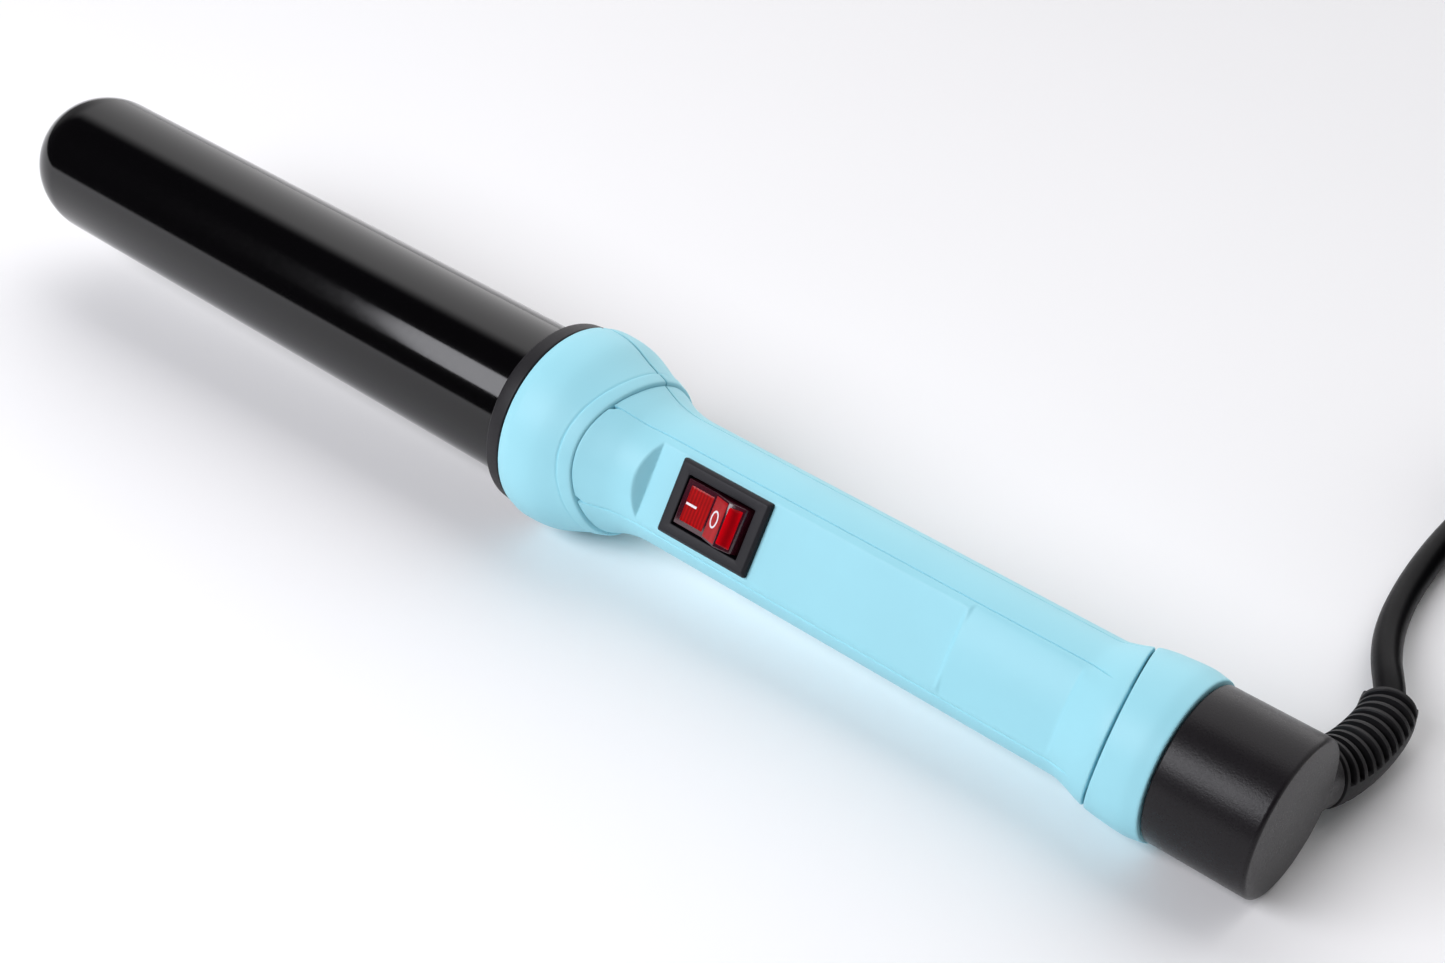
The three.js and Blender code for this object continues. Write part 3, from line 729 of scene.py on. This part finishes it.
def sleeve_piece():
    start = round(len(sleeve_path) * NECK_END)
    path = sleeve_path[start:]
    step = (path[1] - path[0]).length
    whole = step * len(path)

    def ring_radius(i, angle):
        travelled = step * i
        size = SLEEVE_RADIUS - SLEEVE_TAPER * travelled / whole
        size -= drop(travelled / MM, 0.4) * MM + drop((whole - travelled) / MM, 0.6) * MM
        depth = 0
        for k in range(2):
            around = (angle - SLOTS_FACE - k * math.pi + math.pi) % (2 * math.pi) - math.pi
            shift = FIRST_SLOT + SLOT_PITCH / 2 * k
            number = min(max(round((travelled - shift) / SLOT_PITCH), 0), SLOT_COUNT - 1)
            offset = travelled - shift - number * SLOT_PITCH
            across_slot = slot_shape(offset, SLOT_HALF_WIDTH, SLOT_SIDE)
            around_slot = slot_shape(around, SLOT_HALF_TURN, SLOT_END)
            depth = max(depth, across_slot * around_slot)
        return size - depth * (size - SLOT_FLOOR)

    skin = swept(path, ring_radius, SLEEVE_COLUMNS)
    mouth = skin[0][-SLEEVE_COLUMNS:]
    centre = path[-1]
    rim = [centre + (point - centre).normalized() * CORD_DIAMETER * 0.47 for point in mouth]
    end = (mouth + rim, grid_faces(2, SLEEVE_COLUMNS, closed=True))
    ring = joined(skin, end)
    return piece(
        "sleeve", *ring, SLEEVE_BLACK, "swivel", ["strain_relief"], "black_matte", ON_TABLE
    )


sleeve = sleeve_piece()


# Plug: a flat moulded body that tapers to the cord, and two pins with sleeves.


def bevelled(made, width, segments):
    """Rounds a piece's sharp edges."""
    modifier = made.modifiers.new("edges", "BEVEL")
    modifier.width = width
    modifier.segments = segments
    modifier.limit_method = "ANGLE"
    bake(made)


def bake(made):
    """Puts the result of the modifiers into the mesh."""
    bpy.context.view_layer.update()
    graph = bpy.context.evaluated_depsgraph_get()
    result = bpy.data.meshes.new_from_object(made.evaluated_get(graph))
    made.modifiers.clear()
    made.data = result
    tidy(made)


PLUG = Matrix.Translation(PLUG_AT) @ Matrix.Rotation(PLUG_TURN, 4, "Z") @ Matrix.Scale(MM, 4)


def plug_pieces():
    half_width = 17.65
    half_thickness = 6.8
    front = 36
    pin_offset = 9.3
    cover_end = 46
    outline = [(8, 4.6), (15, 11.6), (23, half_width), (front, half_width)]
    outline += [(x, -y) for x, y in reversed(outline)]
    count = len(outline)
    points = [(x, y, z) for z in (-half_thickness, half_thickness) for x, y in outline]
    faces = [tuple(range(count))[::-1], tuple(range(count, 2 * count))]
    faces += [(i, (i + 1) % count, (i + 1) % count + count, i + count) for i in range(count)]
    body = piece(
        "plug_moulding", points, faces, CORD_BLACK, "swivel", ["plug_body"], "cord_black", PLUG
    )
    bevelled(body, 0.0022, 6)
    neck_outline = [
        (-0.2, 2.9),
        (-0.2, 3.5),
        *arc(0.3, 3.3, 0.5, 180, 100, 4),
        (4, 4.1),
        (9, 5.0),
        (13, 5.2),
        (13, 0.01),
    ]
    neck_skin = lathe(neck_outline, 48)
    made = [body, piece("plug_neck", *neck_skin, CORD_BLACK, "swivel", [], "cord_black", PLUG)]
    cover = lathe([(front, 1.95), (cover_end, 1.95), (cover_end + 0.05, 0.01)], 32)
    pin_outline = [
        (cover_end, 0.01),
        (cover_end, 2),
        (53.2, 2),
        *arc(53.2, 0.2, 1.8, 90, 0, 8),
        (55, 0.01),
    ]
    pin = lathe(pin_outline, 32)
    for side, number in ((1, 1), (-1, 2)):
        here = PLUG @ Matrix.Translation((0, side * pin_offset, 0))
        for name, skin, material, node, slot in (
            ("pin_cover", cover, SLEEVE_BLACK, "plug_sleeve", "black_matte"),
            ("pin", pin, BRASS, "plug_pin", "brass"),
        ):
            stands_for = [f"{node}_{number}"]
            made.append(
                piece(f"{name}_{number}", *skin, material, "swivel", stands_for, slot, here)
            )
    return made


plug = plug_pieces()


# Tie round the coil: a flat strap.


def tie_piece():
    half_width = 0.003
    half_thickness = 0.00035
    floor = 0.00003
    bend = 0.0022
    low = 0.0004
    top = COIL_LOWEST + (COIL_LAYERS - 0.5) * CORD_DIAMETER + 0.0007
    inner = COIL_CENTRE[1] + COIL_RADII[-1] - CORD_DIAMETER / 2 - 0.0009
    outer = COIL_CENTRE[1] + COIL_RADII[0] + CORD_DIAMETER / 2 + 0.0007
    corners = [(outer, low, -90), (outer, top, 0), (inner, top, 90), (inner, low, 180)]
    loop = []
    for y, z, start in corners:
        centre_y = y - math.copysign(bend, y - (inner + outer) / 2)
        centre_z = z - math.copysign(bend, z - (low + top) / 2)
        for i in range(7):
            angle = math.radians(start + 15 * i)
            loop.append((centre_y + bend * math.cos(angle), centre_z + bend * math.sin(angle)))
    points = []
    centre = Vector((sum(y for y, z in loop) / len(loop), sum(z for y, z in loop) / len(loop)))
    section = [(-1, -1), (1, -1), (1, 1), (-1, 1)]
    for y, z in loop:
        outwards = (Vector((y, z)) - centre).normalized()
        for side, out in section:
            at = Vector((y, z)) + outwards * half_thickness * out
            points.append((COIL_CENTRE[0] + side * half_width, at.x, max(at.y, floor)))
    faces = band_faces(len(loop), len(section))
    strap = piece(
        "cord_strap", points, faces, TIE_BLACK, "swivel", ["cord_tie"], "black_matte", ON_TABLE
    )
    bevelled(strap, 0.0002, 2)
    return strap


tie = tie_piece()


# Barrel and collar.

BARREL_SKIN = BARREL_RADIUS - 0.02
barrel_outline = [
    *arc(BARREL_RADIUS, 0, BARREL_SKIN, 180, 90, 40),
    *[(x, BARREL_SKIN) for x in range(20, 162, 4)],
    (COLLAR_START + 1, BARREL_SKIN),
]
piece("barrel", *lathe(barrel_outline), GLOSS_BLACK, "handle", ["barrel_tube"], "black_gloss")
collar_outline = [
    (COLLAR_START + 2, BARREL_RADIUS - 0.05),
    (COLLAR_START + 0.25, BARREL_RADIUS + 0.02),
    *arc(COLLAR_START + 0.3, BARREL_RADIUS + 0.4, 0.3, 270, 180, 4),
    *arc(COLLAR_START + 1.3, 17.9, 1.3, 180, 105, 8),
    (163.5, 19.3),
    (164.9, 19.46),
    *arc(165.0, 19.16, 0.3, 90, 0, 4),
    (165.35, 18.4),
]
piece("collar", *lathe(collar_outline), COLLAR_BLACK, "handle", ["heat_collar"], "black_matte")


# Guard, neck and grip shells.

# How far the lip's edges swing forward at the panel's middle, and at the back.
LIP_START_SWING = 3.3
LIP_END_SWING = 2.95
LIP_BACK_SWING = 0.8

# Steps across the lip's two edges, as (x from the edge, height over the dome or over the lip).
LIP_FRONT_STEPS = (
    (-0.5, 0),
    (-0.32, -0.04),
    (-0.15, -0.13),
    (-0.02, -0.15),
    (0.04, -0.05),
    (0.1, 0.1),
    (0.18, 0.17),
    (0.3, LIP_RISE),
)
LIP_BACK_STEPS = ((-0.35, 0), (-0.2, -0.03), (-0.08, -0.12), (-0.01, -0.28), (0, -0.5))


def towards_panel(angle):
    """1 in the panel's middle, falling away to 0 at the sides and all round the back."""
    return max(math.cos(angle), 0) ** 3


def swung(x, swing, angle):
    """Where the lip's edge at x lies at a turn about the axis."""
    return x - swing * towards_panel(angle) - LIP_BACK_SWING * max(-math.cos(angle), 0)


def lip_start(angle):
    return swung(LIP_START, LIP_START_SWING, angle)


def lip_end(angle):
    return swung(LIP_END, LIP_END_SWING, angle)


def seam(angle):
    return SEAM + SEAM_SLOPE * SEAM_RADIUS * math.cos(angle)


def parting(x):
    """Half the upper shell's turn, from the panel's middle to the parting line."""
    return math.acos(PARTING_HEIGHT / (dome(x) if x < LIP_END else neck(x)))


def guard_patch(angle_low, angle_high, columns):
    """The guard's dome and raised lip, with its front rim and the wall behind the lip."""
    dome_back = 174
    steps = 12
    points = []
    column_places = stations(columns)
    for column in column_places:
        around, fall = reach(column, angle_low * GUARD_RADIUS, angle_high * GUARD_RADIUS)
        angle = around / GUARD_RADIUS
        start = lip_start(angle)
        end = lip_end(angle)
        front = (166.6, 167.2, 167.8, 168.4, 169.2, 170, 171, 172, 173, dome_back)
        span = start - dome_back
        back = [dome_back + span * i / steps for i in range(1, steps)]
        rows = [(GUARD_START + 0.05, 17.5), (GUARD_START, 18.9)]
        rows += arc(GUARD_START + 0.5, 19.35, 0.5, 180, 118, 6)
        rows += [(x, dome(x)) for x in (*front, *back)]
        rows += [(start + away, dome(start + away) + rise) for away, rise in LIP_FRONT_STEPS]
        rows += [(x, dome(x) + LIP_RISE) for x in (start + f * (end - start) for f in (0.3, 0.6))]
        rows += [(end + away, dome(end + away) + LIP_RISE + rise) for away, rise in LIP_BACK_STEPS]
        rows.append((end - 0.02, neck(end) - SKIRT))
        points += [round_about(x, angle, radius - fall) for x, radius in rows]
    return points, grid_faces(len(column_places), len(rows))


def grip_radius(x, angle):
    """The upper shell's radius, the same all round."""
    return neck(x)


def behind_lip(angle):
    return lip_end(angle) + FINE_GAP


def before_seam(angle):
    return seam(angle) - SEAM_GAP


def panel_half(x):
    """The panel's half width, a little wider where it meets the lip."""
    flare = 0.85
    flare_end = 191
    flare_length = 8
    return PANEL_HALF_WIDTH + flare * smoothstep((flare_end - x) / flare_length)


def panel_border(x):
    return math.asin(min(panel_half(x) / neck(x), 1))


def groove_fade(x):
    """1 along the panel, and 0 before the rear seam, where its grooves run out."""
    groove_end = 293.5
    fade_length = 2.5
    return smoothstep((groove_end - x) / fade_length)


def screw_recess(x, angle):
    """The lower shell's radius, sunk round each screw."""
    depth = 1.9
    recess_radius = 2.35
    wall = 0.3
    size = neck(x)
    sideways = (angle - math.pi) * size
    away = min(math.hypot(x - station, sideways) for station in SCREW_STATIONS)
    return size - depth * (1 - smoothstep((away - recess_radius) / wall))


# The guard's parting line, and half the gaps at it and along the grip, as turns about the axis.
GUARD_PARTING = parting(175)
GUARD_GAP = SEAM_GAP / GUARD_RADIUS
GRIP_GAP = FINE_GAP / GUARD_RADIUS


def upper_shell():
    guard = guard_patch(-GUARD_PARTING + GUARD_GAP, GUARD_PARTING - GUARD_GAP, 72)
    left = patch(
        behind_lip,
        before_seam,
        lambda x: panel_border(x) + SEAM_GAP / 2 / neck(x) * groove_fade(x),
        lambda x: parting(x) - GRIP_GAP,
        grip_radius,
        rows=130,
        columns=16,
        fade=lambda x: 0.7 * groove_fade(x) if x > GRIP_FRONT else 1,
    )
    right_points = [(x, -y, z) for x, y, z in left[0]]
    right = (right_points, [face[::-1] for face in left[1]])
    parts = joined(guard, left, right)
    piece("shell_upper", *parts, AQUA, "handle", ["upper_shell"], "aqua")


def lower_shell():
    whole = 2 * math.pi
    guard = guard_patch(GUARD_PARTING + GUARD_GAP, whole - GUARD_PARTING - GUARD_GAP, 76)
    grip = patch(
        behind_lip,
        before_seam,
        lambda x: parting(x) + GRIP_GAP,
        lambda x: whole - parting(x) - GRIP_GAP,
        screw_recess,
        rows=420,
        columns=190,
        fade=lambda x: 0.6,
    )
    piece("shell_lower", *joined(guard, grip), AQUA, "handle", ["lower_shell"], "aqua")


def soft_least(a, b, width):
    """The smaller of two heights, rounded where they meet."""
    blend = max(width - abs(a - b), 0) / width
    return min(a, b) - blend * blend * width / 4


FLAT_WALL_SLOPE = 1.45
STEP_HEIGHT = 0.55
FLARE_START = 287
FLARE_SLOPE = 0.42
CROWN_RADIUS = 24
CROWN_RISE = 0.35


def panel_cut(x):
    """The height of the cuts into the panel: the switch's flat with its front wall, the step at
    its end, and the rise behind, which steepens where the grip flares."""
    if x < FLAT_START:
        return FLAT_HEIGHT + (FLAT_START - x) * FLAT_WALL_SLOPE
    if x < FLAT_END:
        return FLAT_HEIGHT
    if x < FLAT_END + 1:
        return FLAT_HEIGHT + STEP_HEIGHT * smoothstep(x - FLAT_END)
    behind = FLAT_HEIGHT + STEP_HEIGHT + 0.15 * (x - FLAT_END - 1) / 20
    return behind + FLARE_SLOPE * max(x - FLARE_START, 0) * smoothstep((x - FLARE_START) / 1.2)


def panel_height(x, y):
    """The panel's top: the grip's round skin or the cut into it, with a crown behind the flat."""
    round_skin = math.sqrt(max(neck(x) ** 2 - y * y, 0.01))
    cut = panel_cut(x)
    crown = smoothstep((x - FLAT_END) / 1.5)
    cut += crown * (CROWN_RISE - CROWN_RADIUS + math.sqrt(CROWN_RADIUS**2 - y * y))
    return soft_least(round_skin, cut, 0.3)


def panel_piece():
    panel_length = 110
    step = 0.22
    hole_half_length = 9.8
    hole_half_width = 6.6
    points = []
    faces = []
    row_places = stations(round(panel_length / step))
    column_places = stations(round(2 * PANEL_HALF_WIDTH / step))
    for row in row_places:
        for column in column_places:
            y = 0
            x = GRIP_FRONT
            for _ in range(4):
                angle = math.asin(y / neck(x))
                front = behind_lip(angle)
                x, fall_x = reach(row, front, before_seam(angle))
                corner = 0.7 * (1 - smoothstep((x - front) / 1.2))
                border = panel_half(x) - SEAM_GAP / 2 * groove_fade(x) - corner
                y, fall_y = reach(column, -border, border)
            fall = max(fall_x * front_sharpness(x), fall_y * groove_fade(x))
            points.append((x, y, panel_height(x, y) - fall))
    columns = len(column_places)
    for face in grid_faces(len(row_places), columns):
        middle = sum((Vector(points[i]) for i in face), Vector()) / 4
        if abs(middle.x - SWITCH_X) > hole_half_length or abs(middle.y) > hole_half_width:
            faces.append(face)
    piece("panel", points, faces, AQUA, "handle", ["switch_panel"], "aqua")


upper_shell()
lower_shell()
panel_piece()


def rear_ring():
    segments = 180
    edge = 0.3
    edge_steps = (0, 0.03, 0.08, 0.16, edge)
    even_end = 305.8
    steps = 14
    points = []
    for j in range(segments):
        angle = 2 * math.pi * j / segments
        start = seam(angle) + SEAM_GAP
        even = (start + (even_end - start) * i / steps for i in range(1, steps))
        rows = [(start, neck(start) - SKIRT)]
        rows += [(start + away, neck(start + away) - drop(away, edge)) for away in edge_steps]
        rows += [(x, neck(x)) for x in even]
        rows += [(x, neck(x) - fall) for x, fall in ((305.9, 0), (306.2, 0.05), (306.36, 0.18))]
        rows += [(RING_END, neck(RING_END) - 0.35), (RING_END - 0.05, 12.7), (303.2, 12.6)]
        points += [round_about(x, angle, radius) for x, radius in rows]
    faces = grid_faces(segments, len(rows))
    last = (segments - 1) * len(rows)
    faces += [(last + i, i, i + 1, last + i + 1) for i in range(len(rows) - 1)]
    piece("ring_rear", points, faces, AQUA, "handle", ["rear_ring"], "aqua")


rear_ring()


# End cap with its side neck, whose flank lies in the plane of the end face. The radius and taper
# are in metres. How far the flank stands proud of the face, the bend there, and how deep the root
# is sunk are in millimetres. Where the root ends and the rise starts are shares of the length.

NECK_COLUMNS = 96
NECK_RADIUS = 0.0075
NECK_TAPER = 0.0018
NECK_FLUSH = 0.02
NECK_BEND = 0.1
NECK_SUNK = 0.6
NECK_ROOT = 0.35
NECK_RISE_START = 0.68


def flattened(proud):
    """How far a point of the neck stands out of the cap's end face once its flank is flush."""
    over = proud + NECK_BEND - NECK_FLUSH
    return proud if over < 0 else NECK_FLUSH - NECK_BEND + over / (1 + over / NECK_BEND)


def end_cap():
    outline = [
        (303.6, 0.01),
        (303.6, 12.3),
        (306.7, 12.3),
        (306.7, 14.1),
        *arc(307.1, 14.1, 0.4, 180, 90, 4),
        (312, CAP_RADIUS),
        (318, CAP_RADIUS),
        *arc(CAP_END - 0.8, CAP_RADIUS - 0.8, 0.8, 90, 0, 6),
        (CAP_END, 0.01),
    ]
    cup = lathe(outline, 120)
    cap = piece("end_cap", *cup, CAP_BLACK, "swivel", ["swivel_cap"], "black_matte")
    face_out = (HANDLE.to_3x3() @ Vector((1, 0, 0))).normalized()
    face_middle = HANDLE @ Vector((CAP_END, 0, 0))
    path = sleeve_path[: round(len(sleeve_path) * NECK_END) - 1]
    whole = len(path)

    def ring_radius(i, angle):
        return NECK_RADIUS - NECK_TAPER * i / whole

    points, faces = swept(path, ring_radius, NECK_COLUMNS)
    for number, point in enumerate(points):
        proud = (point - face_middle).dot(face_out) / MM
        travelled = number // NECK_COLUMNS / whole
        # The neck's root stays below the face, hidden in the cap, and its end rises to the sleeve.
        sunk = NECK_SUNK * max(0, 1 - travelled / NECK_ROOT) ** 2
        rise = smoothstep((travelled - NECK_RISE_START) / (1 - NECK_RISE_START))
        flush = (proud - flattened(proud)) * (1 - rise)
        points[number] = point - face_out * (flush + sunk) * MM
    data = bpy.data.meshes.new("neck")
    root = tuple(reversed(range(NECK_COLUMNS)))
    end = tuple(range(len(points) - NECK_COLUMNS, len(points)))
    data.from_pydata(points, [], [*faces, root, end])
    stem = bpy.data.objects.new("neck", data)
    bpy.context.scene.collection.objects.link(stem)
    tidy(stem)
    union = cap.modifiers.new("stem", "BOOLEAN")
    union.operation = "UNION"
    union.solver = "EXACT"
    union.object = stem
    bake(cap)
    bpy.data.objects.remove(stem)
    cap.data.materials.clear()
    cap.data.materials.append(CAP_BLACK)


end_cap()


# Switch.


def rounded_loop(half_x, half_y, corner, height):
    """Points round a rectangle with rounded corners."""
    count = 5
    loop = []
    for quarter, (sx, sy) in enumerate(((1, 1), (-1, 1), (-1, -1), (1, -1))):
        for i in range(count + 1):
            angle = math.pi / 2 * (quarter + i / count)
            x = sx * (half_x - corner) + corner * math.cos(angle)
            y = sy * (half_y - corner) + corner * math.sin(angle)
            loop.append((x, y, height))
    return loop


def lofted(loops):
    """A skin from loop to loop."""
    columns = len(loops[0])
    points = [point for loop in loops for point in loop]
    return points, grid_faces(len(loops), columns, closed=True)


def switch_bezel():
    half_x = BEZEL_LENGTH / 2 - 0.02
    half_y = BEZEL_WIDTH / 2 - 0.02
    top = FLAT_HEIGHT + BEZEL_HEIGHT
    well_x = 7.9
    well_y = 4.9
    well_floor = 2
    loops = []
    for inset, height in (
        (0, FLAT_HEIGHT - 0.3),
        (0, top - 0.75),
        (0.06, top - 0.62),
        (0.5, top - 0.1),
        (0.62, top - 0.02),
        (0.8, top),
    ):
        loops.append(rounded_loop(half_x - inset, half_y - inset, 0.5, height))
    for outset, corner, height in (
        (0.3, 0.35, top),
        (0.12, 0.3, top - 0.05),
        (0, 0.25, top - 0.22),
        (0, 0.25, well_floor),
    ):
        loops.append(rounded_loop(well_x + outset, well_y + outset, corner, height))
    loops.append(rounded_loop(0.1, 0.1, 0.05, well_floor))
    here = HANDLE @ Matrix.Translation((SWITCH_X, 0, 0))
    skin = lofted(loops)
    bezel = piece("bezel", *skin, BEZEL_GREY, "handle", ["switch_housing"], "black_matte", here)
    bezel.data.materials.append(BEZEL_SIDE)
    normal = (here.to_3x3() @ Vector((0, 0, 1))).normalized()
    for face in bezel.data.polygons:
        if face.normal.dot(normal) < 0.5:
            face.material_index = 1


# The rocker, about its pivot: its half width, and the corners of its top as (x, z).
PIVOT = Matrix.Translation((SWITCH_X, 0, ROCKER_PIVOT))
ROCKER = HANDLE @ PIVOT @ Matrix.Rotation(ROCKER_TILT, 4, "Y")
ROCKER_HALF = 4.4
VALLEY = (0, 3.2)
RIDGE = (4.44, 4.06)
FLAT_TIP = (-6.8, 4.5)
END_LOW = (7.05, 2.45)


def rocker_outline():
    """The rocker's side outline: a flat facet and a ridged one that meet in a valley."""
    end_radius = 7.5
    right = [(6.2, -3.2)]
    for angle in map(math.radians, (-8, -1, 6, 13, 18)):
        right.append((end_radius * math.cos(angle), end_radius * math.sin(angle)))
    left = [(-x, z) for x, z in reversed(right)]
    return [*right, RIDGE, VALLEY, FLAT_TIP, *left]


def switch_rocker():
    outline = rocker_outline()
    count = len(outline)
    points = [(x, y, z) for y in (-ROCKER_HALF, ROCKER_HALF) for x, z in outline]
    faces = [tuple(range(count)), tuple(range(2 * count - 1, count - 1, -1))]
    faces += [(i, i + count, (i + 1) % count + count, (i + 1) % count) for i in range(count)]
    # The body's dark red is painted shade; the bright facets are plates laid on it.
    made = piece("rocker_cap", points, faces, ROCKER_RED_PAINTED_SHADE, "rocker", ["rocker"], "red_clear", ROCKER)
    bevelled(made, 0.0002, 3)


def inlay(name, corners, material):
    """A thin plate on one of the rocker's faces, from its four corners."""
    lift = 0.03
    bend = 0.15
    size = 24
    a, b, c, d = (Vector(corner) for corner in corners)
    long_side = (b - a).length
    short_side = (d - a).length
    normal = (b - a).cross(d - a).normalized()
    points = []
    for i in range(size + 1):
        for j in range(size + 1):
            u = i / size
            v = j / size
            spot = a.lerp(b, u).lerp(d.lerp(c, u), v)
            inside = min(u * long_side, (1 - u) * long_side, v * short_side, (1 - v) * short_side)
            points.append(spot + normal * (lift - drop(inside, bend) * 0.5))
    faces = grid_faces(size + 1, size + 1)
    piece(name, points, faces, material, "rocker", [], "red_clear", ROCKER)


def on_facet(start, end, travelled, lift):
    """A point on the line between two outline points, lifted off it."""
    ahead = (Vector((end[0], 0, end[1])) - Vector((start[0], 0, start[1]))).normalized()
    over = Vector((-ahead.z, 0, ahead.x))
    if over.z < 0:
        over = -over
    return Vector((start[0], 0, start[1])) + ahead * travelled + over * lift


def facet_inlay(name, start, end, near, far, half, material):
    """A clear panel on a facet, from near to far along it and reaching half to each side."""
    corners = []
    for travelled, side in ((near, half), (near, -half), (far, -half), (far, half)):
        point = on_facet(start, end, travelled, 0)
        corners.append((point.x, side, point.z))
    if end[0] < start[0]:
        corners.reverse()
    inlay(name, corners, material)


def switch_marks():
    """A bar on the pressed side and a ring on the raised side, both slightly proud."""
    low = 0.02
    high = 0.08
    near = 3.1
    far = 5.6
    half = 0.22
    bar = []
    for lift in (low, high):
        for travelled, side in ((near, -half), (far, -half), (far, half), (near, half)):
            bar.append(on_facet(VALLEY, FLAT_TIP, travelled, lift) + Vector((0, side, 0)))
    box_faces = [(0, 1, 2, 3), (7, 6, 5, 4), (0, 4, 5, 1), (1, 5, 6, 2), (2, 6, 7, 3), (3, 7, 4, 0)]
    piece("mark_on", bar, box_faces, MARK_WHITE, "rocker", [], "red_clear", ROCKER)
    middle = 2
    ring_length = 1.0
    ring_width = 1.5
    line = 0.18
    sides = 64
    ring = []
    for i in range(sides):
        angle = 2 * math.pi * i / sides
        for out, lift in ((-line, low), (-line, high), (line, high), (line, low)):
            travelled = middle + (ring_length + out) * math.cos(angle)
            side = (ring_width + out) * math.sin(angle)
            ring.append(on_facet(VALLEY, RIDGE, travelled, lift) + Vector((0, side, 0)))
    piece("mark_off", ring, band_faces(sides, 4), MARK_WHITE, "rocker", [], "red_clear", ROCKER)


switch_bezel()
switch_rocker()
facet_inlay("lens_on", VALLEY, FLAT_TIP, 0.12, 5.9, 3.6, LENS_RED)
facet_inlay("facet_off", VALLEY, RIDGE, 0.12, 4.35, 4.2, FACET_RED)
# The end wall's plate carries the painted bright streak of light and painted shade.
facet_inlay("end_off", RIDGE, END_LOW, 0.2, 2.9, 3.7, END_WALL_RED_PAINTED_STREAK)
switch_marks()


# Table, light and surroundings.

TABLE = Nodes("table_white")
TABLE.set(Roughness=0.6)
clouds = TABLE.spread(TABLE.noise(scale=4), 0, 1)
white = TABLE.mix(clouds, (0.93, 0.93, 0.93), (0.95, 0.95, 0.95))
TABLE.link(white, TABLE.shader.inputs["Base Color"])
bpy.ops.mesh.primitive_plane_add(size=6, location=(0, 0, 0))
table = bpy.context.object
table.name = "table"
table.data.materials.append(TABLE.material)


def softbox(name, place, target, width, height, power, colour):
    data = bpy.data.lights.new(name, "AREA")
    data.shape = "RECTANGLE"
    data.size = width
    data.size_y = height
    data.energy = power
    data.color = colour
    lamp = bpy.data.objects.new(name, data)
    lamp.location = place
    lamp.rotation_euler = (target - place).to_track_quat("-Z", "Y").to_euler()
    bpy.context.scene.collection.objects.link(lamp)


KEY_ANGLE = math.radians(139)
KEY_DISTANCE = 1.1
KEY_X = -0.38
key_place = Vector((KEY_X, KEY_DISTANCE * math.cos(KEY_ANGLE), KEY_DISTANCE * math.sin(KEY_ANGLE)))
softbox(
    "key",
    key_place,
    Vector((KEY_X, 0, 0)),
    width=1.1,
    height=0.55,
    power=13.8,
    colour=(0.95, 0.95, 1.0),
)

# The surroundings: a bright wall behind the wand, dimmer to both sides, and a dark room before it.
BACKDROP = (1.62, 1.6, 1.62, 1)
ROOM = (0.03, 0.03, 0.033, 1)
world = bpy.data.worlds.new("surroundings")
world.use_nodes = True
sky_tree = world.node_tree
looking = sky_tree.nodes.new("ShaderNodeTexCoord").outputs["Generated"]


def facing(towards, low, high, least=0):
    """From least to 1 as the direction turns towards a side."""
    dot = sky_tree.nodes.new("ShaderNodeVectorMath")
    dot.operation = "DOT_PRODUCT"
    dot.inputs[1].default_value = towards
    sky_tree.links.new(looking, dot.inputs[0])
    share = sky_tree.nodes.new("ShaderNodeMapRange")
    share.interpolation_type = "SMOOTHSTEP"
    share.inputs["From Min"].default_value = low
    share.inputs["From Max"].default_value = high
    share.inputs["To Min"].default_value = least
    sky_tree.links.new(dot.outputs["Value"], share.inputs["Value"])
    return share.outputs["Result"]


def both(one, other):
    """The product of two shares."""
    product = sky_tree.nodes.new("ShaderNodeMath")
    product.operation = "MULTIPLY"
    sky_tree.links.new(one, product.inputs[0])
    sky_tree.links.new(other, product.inputs[1])
    return product.outputs["Value"]


bright = both(facing((0, 0.9925, -0.122), -0.1, 0.15), facing((-1, 0, 0), -0.9, 0.1, 0.35))
bright = both(bright, facing((1, 0, 0), -0.95, -0.6, 0.1))
sky = sky_tree.nodes.new("ShaderNodeMix")
sky.data_type = "RGBA"
sky.inputs["A"].default_value = ROOM
sky.inputs["B"].default_value = BACKDROP
sky_tree.links.new(bright, sky.inputs["Factor"])
sky_tree.links.new(sky.outputs["Result"], sky_tree.nodes["Background"].inputs["Color"])
bpy.context.scene.world = world
bpy.context.scene.view_settings.view_transform = "Standard"
